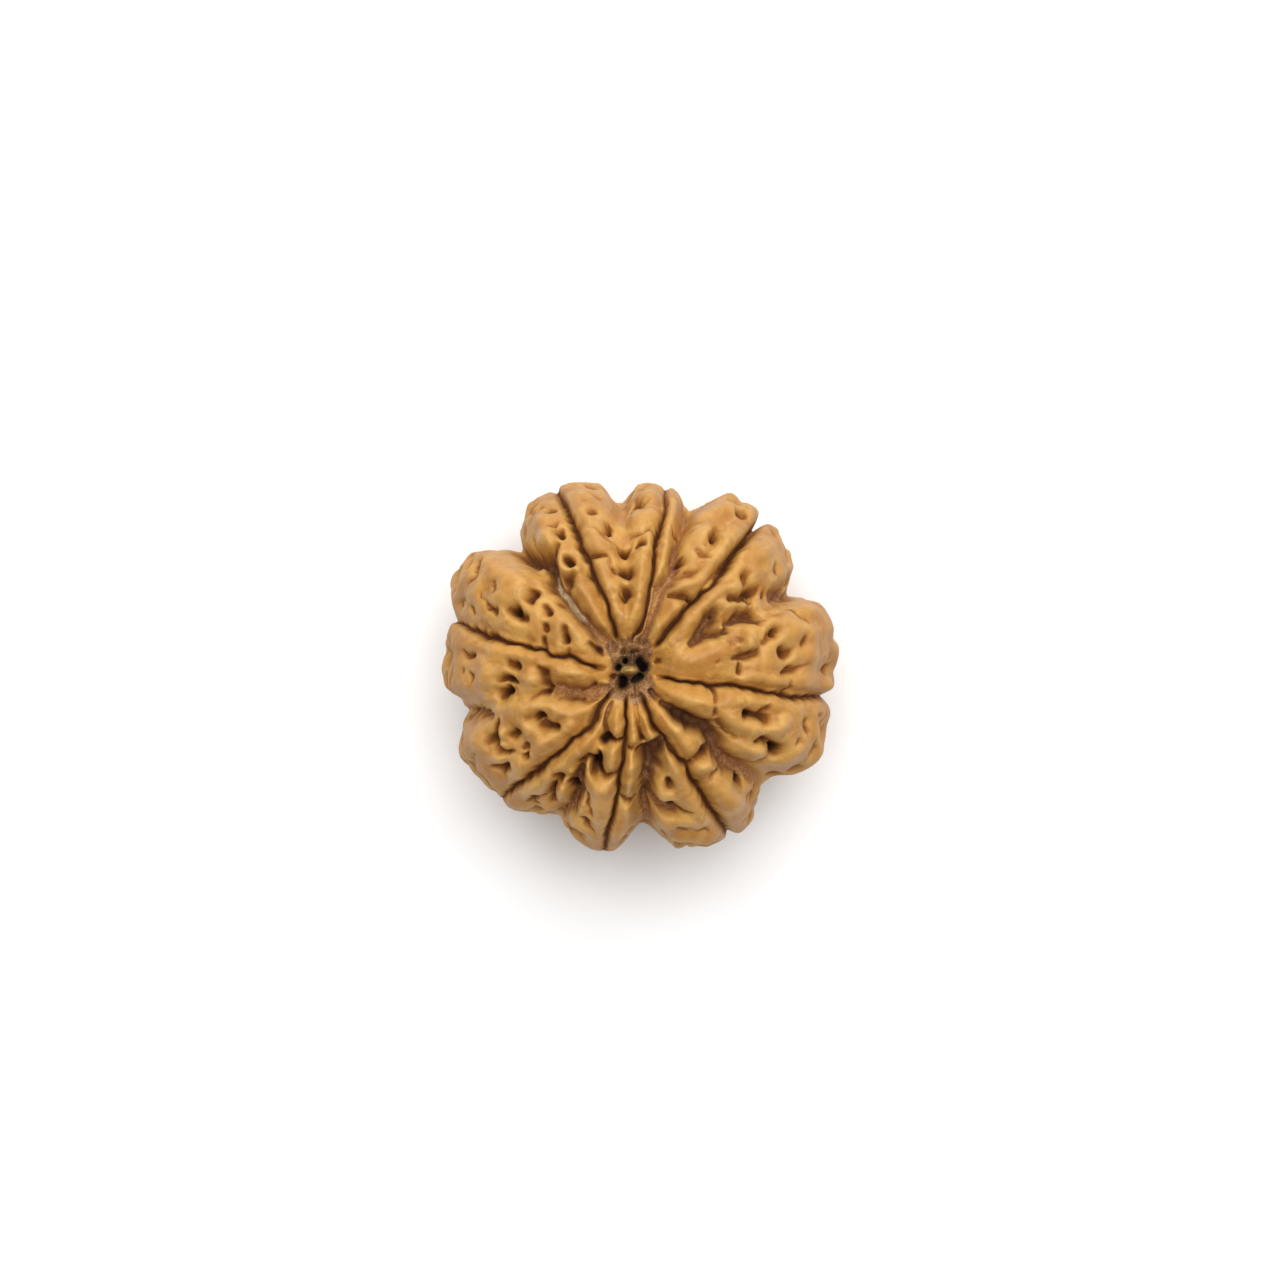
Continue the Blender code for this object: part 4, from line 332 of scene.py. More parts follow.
    [(-4.8, -7.15, 0.12, 1.0), (-5.0, -7.6, 0.15, 1.0), (-4.95, -8.4, 0.13, 0.7)],
    [(-5.1, -7.78, 0.1, 0.7), (-5.6, -8.02, 0.1, 0.7), (-6.1, -7.97, 0.12, 0.8)],
    [(-6.12, -8.1, 0.15, 1.0), (-6.42, -8.38, 0.12, 0.8), (-6.0, -8.4, 0.18, 0.6)],
    [(-6.3, -8.8, 0.12, 0.4)],
    # Left half of the same lobe
    [(-4.6, -1.9, 0.1, 0.5), (-3.8, -2.0, 0.14, 0.85), (-3.1, -2.05, 0.14, 0.85), (-2.3, -2.0, 0.1, 0.5)],
    [(-3.3, -1.48, 0.15, 0.9), (-2.8, -1.25, 0.12, 0.8), (-2.4, -1.08, 0.14, 0.9)],
    [(-5.92, -3.05, 0.18, 1.3), (-5.6, -2.98, 0.18, 1.4)],
    [(-5.6, -3.4, 0.2, 0.9), (-5.2, -3.6, 0.24, 1.0), (-4.75, -3.65, 0.19, 1.2)],
    [(-6.7, -3.1, 0.1, 0.25), (-6.1, -3.05, 0.12, 0.4)],
    [(-7.5, -4.17, 0.15, 1.0), (-7.15, -4.0, 0.15, 1.2)],
    [(-6.78, -5.0, 0.1, 0.7), (-6.5, -4.85, 0.14, 0.9)],
    [(-6.55, -5.1, 0.07, 0.4), (-6.55, -5.45, 0.16, 1.1)],
    [(-9.15, -4.65, 0.14, 0.4), (-8.7, -4.55, 0.24, 1.2), (-8.4, -4.65, 0.12, 0.9)],
    [(-8.4, -3.3, 0.1, 0.6), (-8.55, -3.9, 0.14, 0.9), (-8.65, -4.5, 0.22, 1.2), (-8.6, -4.95, 0.14, 0.8)],
    [(-8.5, -5.05, 0.14, 0.8), (-8.0, -5.2, 0.13, 0.9), (-7.4, -5.25, 0.08, 0.4)],
    [(-8.8, -6.2, 0.1, 0.4), (-8.2, -6.3, 0.22, 1.0), (-7.7, -6.1, 0.18, 0.9)],
    [(-9.85, -5.3, 0.08, 0.2), (-9.8, -6.0, 0.08, 0.25)],
    [(-9.95, -2.8, 0.1, 0.4), (-9.8, -3.0, 0.1, 0.4)],
    # Lower half of the lobe to the left
    [(-5.85, 0.05, 0.12, 0.5), (-5.5, -0.3, 0.24, 0.9), (-5.4, -0.8, 0.24, 0.8), (-5.15, -1.1, 0.14, 1.1),
     (-5.35, -1.5, 0.15, 1.2), (-5.8, -1.65, 0.1, 0.6), (-6.4, -1.9, 0.06, 0.25)],
    [(-7.65, 0.35, 0.15, 0.6), (-7.3, 0.2, 0.22, 1.0), (-7.15, -0.02, 0.15, 1.0)],
    [(-8.2, -0.7, 0.15, 1.0), (-7.8, -0.65, 0.2, 1.3), (-7.3, -0.82, 0.15, 0.9)],
    [(-7.65, -1.25, 0.22, 1.5), (-7.9, -1.6, 0.24, 1.3), (-8.15, -1.85, 0.1, 0.6)],
    [(-7.33, -1.15, 0.06, 0.3), (-7.3, -1.6, 0.06, 0.3), (-7.1, -1.9, 0.06, 0.2)],
    [(-10.5, 1.05, 0.11, 0.4), (-10.35, 0.85, 0.08, 0.6), (-10.15, 0.75, 0.09, 0.8), (-9.88, 0.75, 0.1, 0.8)],
    [(-10.15, -0.3, 0.1, 0.4), (-10.0, -0.62, 0.12, 0.8)],
    [(-10.62, -0.15, 0.12, 0.3)],
    [(-3.88, -0.65, 0.09, 0.15)],
]

# What stands proud of the surface round it: x, y, half-width and height along each
RIDGES = [
    [(-7.4, 5.5, 1.5, 0.45)],
    [(-9.6, 6.7, 0.8, 0.15)],
    [(-6.3, 3.7, 0.6, 0.15), (-4.7, 3.0, 0.6, 0.15)],
    [(-5.4, 8.1, 0.95, 0.5)],
    [(-5.5, 9.4, 0.6, 0.15)],
    [(-4.4, 7.25, 0.25, 0.3), (-4.55, 6.6, 0.22, 0.35), (-4.1, 6.05, 0.22, 0.35), (-3.5, 6.3, 0.25, 0.3)],
    [(-3.0, 5.1, 0.55, 0.25), (-2.3, 3.5, 0.45, 0.25), (-1.7, 2.4, 0.3, 0.2)],
    [(-2.3, 8.0, 0.8, 0.4), (-3.0, 10.8, 0.9, 0.3)],
    [(-2.1, 6.6, 0.45, 0.3), (-1.6, 5.0, 0.4, 0.25), (-0.9, 3.2, 0.4, 0.2)],
    [(1.1, 8.3, 0.4, 0.3), (0.7, 6.6, 0.4, 0.25), (0.5, 4.5, 0.4, 0.25), (0.1, 2.8, 0.4, 0.2)],
    [(-0.2, 9.1, 0.7, 0.25), (1.4, 9.7, 0.6, 0.25)],
    [(1.1, 11.0, 0.7, 0.25)],
    [(2.6, 10.6, 0.4, 0.3), (2.2, 8.5, 0.35, 0.25), (1.9, 6.0, 0.35, 0.25)],
    [(4.6, 8.6, 0.75, 0.3)],
    [(5.8, 8.2, 0.5, 0.3)],
    [(3.0, 5.15, 0.4, 0.25), (4.5, 5.7, 0.5, 0.3), (5.6, 7.3, 0.45, 0.25), (6.6, 8.6, 0.5, 0.2)],
    [(4.6, 9.6, 0.5, 0.2), (6.2, 10.0, 0.6, 0.25), (7.4, 9.8, 0.6, 0.25)],
    [(2.9, 3.9, 0.4, 0.3), (1.7, 2.6, 0.35, 0.25), (1.2, 2.0, 0.3, 0.1)],
    [(8.3, 7.3, 1.1, 0.3)],
    [(8.0, 6.1, 0.6, 0.25)],
    [(6.7, 6.5, 0.45, 0.2), (5.3, 4.9, 0.45, 0.25), (3.2, 2.8, 0.5, 0.25), (1.8, 1.4, 0.4, 0.15)],
    [(6.5, 5.2, 0.55, 0.3)],
    [(5.15, 2.5, 0.28, 0.85), (5.55, 2.52, 0.28, 0.95)],
    [(5.4, 3.95, 0.5, 0.2), (7.2, 3.8, 0.5, 0.25), (8.4, 3.9, 0.5, 0.2)],
    [(7.45, 1.35, 0.34, 0.65), (7.35, 1.8, 0.34, 0.6)],
    [(6.65, 1.6, 0.2, 0.4)],
    [(2.6, 0.4, 0.7, 0.15), (5.0, 0.9, 0.9, 0.15)],
    [(8.4, 2.9, 0.4, 0.2), (9.6, 2.9, 0.5, 0.25), (11.2, 2.2, 0.6, 0.2), (11.4, 0.9, 0.5, 0.2)],
    [(11.2, 3.7, 0.7, 0.25)],
    [(7.0, -0.6, 0.4, 0.15), (9.2, -0.9, 0.5, 0.25)],
    [(11.0, -0.8, 0.8, 0.15)],
    [(1.9, -1.25, 0.35, 0.15), (3.4, -1.75, 0.6, 0.3), (4.7, -2.0, 0.6, 0.25)],
    [(6.2, -1.7, 0.5, 0.25), (8.6, -2.2, 0.4, 0.2), (10.6, -2.6, 0.5, 0.2)],
    [(6.2, -3.3, 0.5, 0.2), (7.8, -3.8, 0.45, 0.3), (9.2, -3.9, 0.5, 0.35), (9.8, -3.1, 0.4, 0.2)],
    [(6.2, -4.9, 0.5, 0.2), (7.9, -5.3, 0.6, 0.35)],
    [(10.3, -5.4, 0.9, 0.25)],
    [(11.7, -4.0, 0.5, 0.2)],
    [(1.5, -2.5, 0.35, 0.2), (2.8, -4.0, 0.6, 0.3), (3.6, -5.1, 0.5, 0.35)],
    [(4.15, -6.3, 0.5, 0.5), (4.9, -6.0, 0.42, 0.55)],
    [(5.2, -7.4, 0.6, 0.25), (6.3, -8.6, 1.0, 0.35)],
    [(2.35, -5.6, 0.35, 0.4), (3.2, -7.2, 0.5, 0.35), (4.6, -9.7, 0.5, 0.25)],
    [(1.8, -9.6, 0.6, 0.25)],
    [(3.5, -9.7, 0.55, 0.3)],
    [(3.4, -10.8, 0.6, 0.2), (5.0, -10.8, 0.5, 0.2)],
    [(0.0, -3.0, 0.2, 0.15), (0.15, -4.6, 0.25, 0.25)],
    [(0.8, -3.1, 0.2, 0.2), (1.35, -4.5, 0.25, 0.3)],
    [(0.0, -5.45, 0.26, 0.5), (0.0, -6.2, 0.5, 0.75), (-0.1, -7.1, 0.5, 0.75), (-0.25, -7.75, 0.3, 0.5)],
    [(-0.3, -8.9, 0.4, 0.35), (-0.6, -10.3, 0.7, 0.25)],
    [(-0.9, -2.9, 0.3, 0.2), (-0.95, -4.0, 0.35, 0.25)],
    [(-1.15, -5.15, 0.4, 0.6), (-1.25, -6.1, 0.4, 0.55)],
    [(-1.3, -7.0, 0.35, 0.25), (-1.9, -7.7, 0.6, 0.4), (-1.9, -9.6, 0.6, 0.25)],
    [(-2.75, -5.9, 0.25, 0.2), (-2.6, -6.8, 0.3, 0.15)],
    [(-3.05, -8.2, 0.12, 0.2), (-3.25, -9.3, 0.15, 0.25)],
    [(-3.3, -10.2, 0.6, 0.2)],
    [(-2.1, -3.8, 0.35, 0.15), (-3.4, -5.2, 0.5, 0.25), (-5.2, -6.9, 0.55, 0.3), (-6.8, -7.9, 0.4, 0.15)],
    [(-3.85, -6.55, 0.25, 0.3)],
    [(-4.35, -7.5, 0.45, 0.7), (-4.35, -8.1, 0.42, 0.6)],
    [(-5.3, -8.8, 0.6, 0.2)],
    [(-2.8, -2.6, 0.4, 0.25), (-4.6, -2.7, 0.5, 0.2)],
    [(-3.9, -3.6, 0.4, 0.2), (-5.6, -4.7, 0.6, 0.35), (-7.3, -6.7, 0.5, 0.25)],
    [(-6.6, -3.8, 0.5, 0.3)],
    [(-8.2, -4.15, 0.3, 0.35)],
    [(-8.2, -4.85, 0.22, 0.3)],
    [(-8.5, -5.6, 0.5, 0.3)],
    [(-9.9, -4.4, 0.7, 0.2)],
    [(-2.5, -0.4, 0.4, 0.15), (-4.6, 0.05, 0.5, 0.25), (-6.5, 0.75, 0.4, 0.25), (-8.8, 1.1, 0.5, 0.25)],
    [(-6.4, -0.7, 0.7, 0.3)],
    [(-9.2, -0.4, 0.7, 0.3)],
    [(-9.0, -1.8, 0.5, 0.2), (-6.8, -2.5, 0.5, 0.25), (-5.0, -2.4, 0.4, 0.2)],
]

# The crater at the pole: its pits, then the plug and the bars between the pits, given like the above
CRATER_CUTS = [
    [(-0.6, -0.72, 0.22, 1.6), (-0.62, -1.1, 0.25, 1.7)],
    [(-0.94, 0.08, 0.18, 1.1)],
    [(-0.46, 0.47, 0.18, 1.1)],
    [(-1.28, -0.55, 0.14, 0.8)],
    [(0.55, 0.45, 0.2, 1.1), (0.8, 0.05, 0.24, 1.5)],
    [(0.02, 1.1, 0.09, 0.6), (0.35, 1.12, 0.09, 0.6)],
    [(-0.55, 1.15, 0.13, 0.5)],
    [(0.1, -0.78, 0.14, 0.8), (0.6, -0.55, 0.2, 1.1)],
    [(-0.5, -1.75, 0.08, 0.4)],
    [(0.05, -1.78, 0.08, 0.35)],
]
CRATER_RIDGES = [
    [(-0.4, -0.13, 0.24, 0.8), (0.08, -0.12, 0.24, 0.8)],
    [(0.05, 0.9, 0.09, 0.5), (0.02, 0.35, 0.1, 0.6)],
    [(-0.9, -0.35, 0.12, 0.3), (-0.6, -0.25, 0.12, 0.4)],
    [(0.3, -1.1, 0.1, 0.4), (0.35, -1.7, 0.1, 0.3)],
]

# The pale woody strand on the floor of the deep valley at the upper left: x, y, half-width and share
# of its lift along it
STRAND = [
    [(-4.95, 6.05, 0.2, 0.8), (-4.8, 5.35, 0.22, 1.0), (-4.45, 4.85, 0.24, 1.0), (-4.05, 4.45, 0.24, 1.0),
     (-3.75, 3.85, 0.24, 1.0), (-3.25, 3.25, 0.22, 0.9), (-2.75, 2.8, 0.18, 0.4)],
]
STRAND_LIFT = 0.3

# Thin pale fibres round the crater and in the hollows: x, y, half-width and share of their lift
FIBRES = [
    [(0.3, -1.9, 0.05, 1.0), (0.5, -2.4, 0.05, 1.0), (0.75, -2.95, 0.04, 0.9)],
    [(0.3, -1.1, 0.06, 0.7), (0.35, -1.8, 0.05, 0.7)],
    [(-0.2, -1.4, 0.05, 0.7), (-0.15, -2.0, 0.05, 0.7)],
    [(-0.75, -1.5, 0.05, 0.6), (-1.1, -2.1, 0.05, 0.6)],
    [(0.75, -1.2, 0.05, 0.6), (1.3, -1.7, 0.04, 0.6)],
    [(1.1, 1.5, 0.05, 0.8), (1.6, 2.0, 0.04, 0.8)],
    [(1.35, 1.5, 0.04, 0.7), (1.75, 1.85, 0.04, 0.7)],
    [(0.3, 1.5, 0.05, 0.6), (0.5, 2.1, 0.04, 0.6)],
    [(-0.6, 1.5, 0.05, 0.6), (-0.75, 2.0, 0.04, 0.6)],
    [(0.25, 10.5, 0.04, 1.0), (0.65, 10.1, 0.04, 1.0)],
    [(1.2, 5.1, 0.06, 0.8), (1.7, 5.15, 0.07, 0.9), (2.25, 5.0, 0.06, 0.8)],
    [(1.5, 5.0, 0.05, 0.7), (1.9, 5.2, 0.05, 0.7)],
    [(6.2, 2.75, 0.07, 0.8), (6.6, 2.5, 0.08, 0.8), (7.2, 2.6, 0.06, 0.7)],
    [(5.9, 2.2, 0.06, 0.6), (6.1, 1.8, 0.05, 0.6)],
    [(-1.9, -4.5, 0.06, 1.0), (-1.8, -4.35, 0.06, 1.0)],
    [(2.45, -2.4, 0.05, 1.0), (2.55, -2.5, 0.05, 1.0)],
    [(-6.9, 3.7, 0.05, 1.0), (-6.85, 3.6, 0.05, 1.0)],
    [(0.4, 8.1, 0.04, 0.9), (0.45, 8.0, 0.04, 0.9)],
]
FIBRE_LIFT = 0.05

# How far the rough brown ground round the crater reaches, as angle in degrees and radius
CRATER_REACH = [
    (-60, 2.5), (-35, 2.0), (-15, 1.25), (25, 1.3), (42, 2.0), (60, 2.2), (90, 2.2), (115, 2.2),
    (135, 2.5), (155, 1.6), (175, 1.35), (200, 1.4), (215, 2.1), (228, 2.7), (245, 2.2), (270, 2.4),
]

# The oval woody plug in the crater: middle and half-sizes
PLUG = (-0.16, -0.12, 0.58, 0.29)

# The belt round the middle, filled by a seeded rule
BELT_SEED = 8
BELT_TRIES_PER_LOBE = 40
BELT_LATITUDE_DEG = 18
BELT_SHARE_POWER = 0.8
BELT_SPACING = 1.05
BELT_SEAM_GAP = 0.1
BELT_SLANT = 0.7
BELT_LENGTHS = (0.2, 1.6)
BELT_HALF_WIDTHS = (0.1, 0.26)
BELT_DEPTHS = (0.6, 1.4)
BELT_BEND = 0.2
BELT_RIDGE_OFFSET_DEG = 5
BELT_RIDGE_HALF_WIDTHS = (0.5, 0.9)
BELT_RIDGE_HEIGHTS = (0.06, 0.2)
BELT_END_WIDTH = 0.65
BELT_END_DEPTH = 0.6
BELT_VALLEY_ZONE = (0.3, 0.7)
BELT_VALLEY_REACH = 0.62
BELT_VALLEY_POINTS = 7
BELT_VALLEY_WAVE = 0.06
BELT_VALLEY_WIDTH = 0.4
BELT_VALLEY_DEPTH = 0.3
BELT_WANDER_DEG = 2.2
BELT_WANDER_WAVES = 7
BELT_WANDER_START = 0.4
BELT_WANDER_POWER = 8

# How unevenly the edges of the marks run
WOBBLE_SEED = 4
WOBBLE_WAVES = 24
WOBBLE_SIZE = 0.04
WOBBLE_LENGTHS = (0.45, 1.3)

# Gentle waviness all over, a sum of seeded plane waves
UNDULATION_SEED = 21
UNDULATION_WAVES = 28
UNDULATION_HEIGHT = 0.1
UNDULATION_LENGTHS = (1.6, 4.5)

# Where the paint's masks begin and end on the shape
KNOB_HEIGHT = 0.55
KNOB_FADE = 0.25
CRATER_CORE_RADIUS = 1.15
CRATER_EDGE_POWER = 8
HOLLOW_ROUNDS = 6
# Hollows this deep below the skin round them get the full painted shade
NOOK_SHADE_DEPTH = 0.25
# Ridge tops this high above the skin round them get the full painted highlight
CREST_HIGHLIGHT_HEIGHT = 0.12
FLANK_START = 0.8
FLANK_SPAN = 0.18
FLANK_POWER = 1.5
PLUG_EDGE_POWER = 6
PATH_WALL_POWER = 2

# Noises in the wood: size in millimetres, detail, roughness and distortion
NOISES = {
    "blotch": (6.0, 2.0, 0.5, 0.0),
    "mottle": (2.2, 4.0, 0.6, 0.4),
    "cloud": (1.3, 3.0, 0.6, 0.8),
    "freckle": (0.7, 3.0, 0.55, 0.3),
    "grain": (0.3, 4.0, 0.65, 0.6),
    "speck": (0.16, 2.0, 0.5, 0.0),
}
NOISE_MIDDLE = 0.5

# Masks with an edge that a noise breaks up: the mask, the noise and how strongly it does so
RAGGED_MASKS = {
    "ragged_rim": ("crater_rim", "freckle", 0.9),
    "ragged_core": ("crater_core", "grain", 1.2),
    # Near-black painted shade in the pits of the crater's core
    "ragged_pit_shade": ("pit_shade_tone", "grain", 0.5),
}
# How strong the painted highlight on ridge tops is, and how much the mottle adds to it
CREST_HIGHLIGHT_SHARE = 0.3
CREST_HIGHLIGHT_MOTTLE = 0.3

# Finishes: a colour and the layers over it, in order. A layer is a mask, the ends of a smooth step in
# it or None for the mask itself, a share as a number or a mask, and its colour or finish
FINISHES = {
    # Some layers of the wood paint shade in hollows, the deepest valleys, pits and seams, and a highlight on
    # ridge tops
    "wood": ((0.5, 0.243, 0.05), [
        ("mottle", (0.38, 0.62), 1, (0.4, 0.17, 0.03)),
        ("cloud", (0.5, 0.66), 0.5, (0.6, 0.36, 0.1)),
        ("blotch", (0.45, 0.7), 0.35, (0.4, 0.18, 0.045)),
        ("freckle", (0.54, 0.7), 0.4, (0.27, 0.1, 0.018)),
        ("grain", (0.5, 0.72), 0.2, (0.22, 0.085, 0.02)),
        ("flank", None, 0.5, (0.35, 0.155, 0.045)),
        # Painted highlight: paler colour on ridge tops above the skin round them
        ("mottled_crest_highlight", None, 1, (0.6, 0.35, 0.1)),
        # Painted shade: dark red-brown in hollows below the skin round them
        ("nook_shade", (0.05, 0.8), 0.65, (0.24, 0.075, 0.013)),
        ("floor", (0.2, 1.0), 0.7, "valley_floor"),
        # Painted shade: darker colour in the deepest valleys
        ("deep_valley_shade", (1.1, 2.3), 0.8, (0.11, 0.038, 0.011)),
        ("ragged_rim", (0.3, 0.75), 0.75, "crater_rim"),
        ("ragged_core", (0.35, 0.6), 0.8, "crater_floor"),
        # Painted shade: red-brown round the pits, darker to near black inside them, and near black in the
        # crater's pits
        ("pit_shade_tone", (0.2, 0.9), 0.6, (0.24, 0.08, 0.014)),
        ("pit_shade", (0.5, 1.15), 0.9, (0.09, 0.026, 0.005)),
        ("pit_shade", (0.95, 1.5), 1, (0.022, 0.006, 0.0015)),
        ("ragged_pit_shade", (0.22, 0.38), "crater_core", (0.008, 0.003, 0.0015)),
        # Painted shade: red-brown to near black along the seams
        ("seam", (0.25, 0.85), 0.8, (0.19, 0.062, 0.012)),
        ("seam", (0.65, 1.0), 0.9, (0.075, 0.02, 0.004)),
        ("strand", (0.4, 0.75), 1, "strand_bark"),
        ("fibre", (0.3, 0.8), 0.75, (0.38, 0.25, 0.11)),
        ("plug", (0.3, 0.6), 1, "plug_tan"),
    ]),
    "valley_floor": ((0.27, 0.105, 0.035), [
        ("speck", (0.42, 0.64), 1, (0.42, 0.23, 0.115)),
        ("grain", (0.5, 0.68), 0.4, (0.16, 0.055, 0.016)),
    ]),
    "crater_rim": ((0.13, 0.055, 0.022), [("speck", (0.45, 0.62), 1, (0.31, 0.165, 0.088))]),
    "crater_floor": ((0.09, 0.04, 0.015), [("speck", (0.42, 0.66), 1, (0.26, 0.15, 0.065))]),
    "strand_bark": ((0.56, 0.42, 0.24), [("grain", (0.42, 0.62), 1, (0.4, 0.27, 0.14))]),
    "plug_tan": ((0.46, 0.29, 0.075), [("freckle", (0.4, 0.65), 1, (0.3, 0.17, 0.045))]),
}

# How rough the wood is and how much each mask adds, then what its fine bumps are made of
WOOD_ROUGHNESS = 0.38
ROUGHER = {"grain": 0.16, "sunk": 0.3, "flank": 0.12}
WOOD_SPECULAR = 0.33
LUMPS = {"mottle": 0.5, "cloud": 0.3, "freckle": 0.45, "grain": 0.2, "fibrous_grain": 0.5}
BUMP_STRENGTH = 0.55
BUMP_HEIGHT = 0.25

# The floor's half side in metres, and its look
FLOOR_HALF = 1.5
FLOOR_WHITE = (0.93, 0.93, 0.93)
FLOOR_ROUGHNESS = 0.7

# Lights: name, place and size in metres, and power in watts, then the strength of the white room
LIGHTS = [("key", (0.1, 0.52, 0.56), 1.2, 8.0), ("overhead", (0.0, 0.05, 0.8), 0.6, 4.2)]
ROOM_STRENGTH = 0.27


def polar(x, y):
    """Distance from the pole and angle in degrees of x, y."""
    return np.hypot(x, y), np.degrees(np.arctan2(y, x))


def outline_table():
    """Angles in degrees and the eased radius of the silhouette at each: straight lines from corner to
    corner over the angle, averaged under a raised cosine."""
    radius, angle = polar(*np.transpose(OUTLINE))
    grid = np.arange(0, 360, OUTLINE_STEP_DEG)
    raw = np.interp(grid, angle, radius, period=360)
    reach = int(OUTLINE_EASE_DEG / OUTLINE_STEP_DEG)
    kernel = np.hanning(2 * reach + 3)[1:-1]
    wrapped = np.concatenate([raw[-reach:], raw, raw[:reach]])
    return grid, np.convolve(wrapped, kernel / kernel.sum(), "valid")


OUTLINE_ANGLE, OUTLINE_RADIUS = outline_table()


def rim(angle):
    """Radius of the silhouette at an angle in degrees."""
    return np.interp(angle % 360, OUTLINE_ANGLE, OUTLINE_RADIUS, period=360)


def seam_tables():
    """For each seam the share of the radius, the unwrapped angle and the half-width along it."""
    tables = []
    for seam in SEAMS:
        x, y, width = np.array(seam).T
        angle = np.degrees(np.unwrap(np.arctan2(y, x)))
        tables.append((np.hypot(x, y) / rim(angle), angle, width))
    return tables


SEAM_TABLES = seam_tables()
WANDER_PHASES = np.random.default_rng(BELT_SEED).uniform(0, 2 * np.pi, len(SEAMS))


def seam_angle(index, share, height_share):
    """Angle of a seam where the body is at this share of its radius, above or below the belt.

    Below, a seam takes the course of the one TURN_BELOW further round, turned to meet its own upper
    half, with a sine wave that fades in below the belt and out towards the pole."""
    below_index = (index + TURN_BELOW) % len(SEAMS)
    above = np.interp(share, SEAM_TABLES[index][0], SEAM_TABLES[index][1])
    lent = np.interp(share, SEAM_TABLES[below_index][0], SEAM_TABLES[below_index][1])
    below = SEAM_TABLES[index][1][-1] + lent - SEAM_TABLES[below_index][1][-1]
    wave = BELT_WANDER_DEG * np.sin(BELT_WANDER_WAVES * height_share + WANDER_PHASES[index])
    ramp = np.clip(-height_share / BELT_WANDER_START, 0, 1)
    return np.where(height_share >= 0, above, below) + ramp * wave * share ** BELT_WANDER_POWER


def body_point(angle, share, side):
    """Point on the plain lobed body, from its angle, its share of the radius and its side.

    Its height is (1 - share ** n) ** (1 / n) of the half-height."""
    radius = share * rim(angle)
    height = side * HALF_HEIGHT * (1 - np.minimum(share, 1) ** PROFILE_POWER) ** (1 / PROFILE_POWER)
    turn = np.radians(angle)
    return np.array([radius * np.cos(turn), radius * np.sin(turn), height])


def mark_point(x, y, side):
    """Point on the body for a mark seen at x, y from above; the underside is turned by whole lobes."""
    radius, angle = polar(x, y)
    share = min(radius / rim(angle), MARK_SHARE_LIMIT)
    if side > 0:
        return body_point(angle, share, side)
    starts = [float(seam_angle(k, share, 1.0)) for k in range(len(SEAMS))]
    lobe, fraction = 0, 0.0
    for k, start in enumerate(starts):
        span = (starts[(k + 1) % len(SEAMS)] - start) % 360
        offset = (angle - start) % 360
        if offset < span:
            lobe, fraction = k, offset / span
    target = (lobe - TURN_BELOW) % len(SEAMS)
    start = float(seam_angle(target, share, -1.0))
    span = (float(seam_angle((target + 1) % len(SEAMS), share, -1.0)) - start) % 360
    return body_point(start + fraction * span, share, side)


def stroke(marks, side, way):
    """A chain of body points, each with its half-width and depth or height.

    Marks were read from VIEW_DISTANCE above the middle, so what stands higher looked further out. A
    raised mark also moves out along its leaning line, so it starts further in: way is 1 for what is
    sunk and minus 1 for what is raised."""
    chain = []
    for x, y, width, amount in marks:
        radius = np.hypot(x, y)
        height = mark_point(x, y, 1)[2]
        outward = LEAN * radius / np.hypot(LEAN * radius, height)
        sunk = SUNK_WIDTH_SHIFT * width + SUNK_DEPTH_SHIFT * amount
        shift = sunk if way > 0 else -RAISED_SHIFT * amount
        eased = 1 - height / VIEW_DISTANCE + shift * outward / radius
        chain.append((mark_point(x * eased, y * eased, side), width, amount))
    return chain


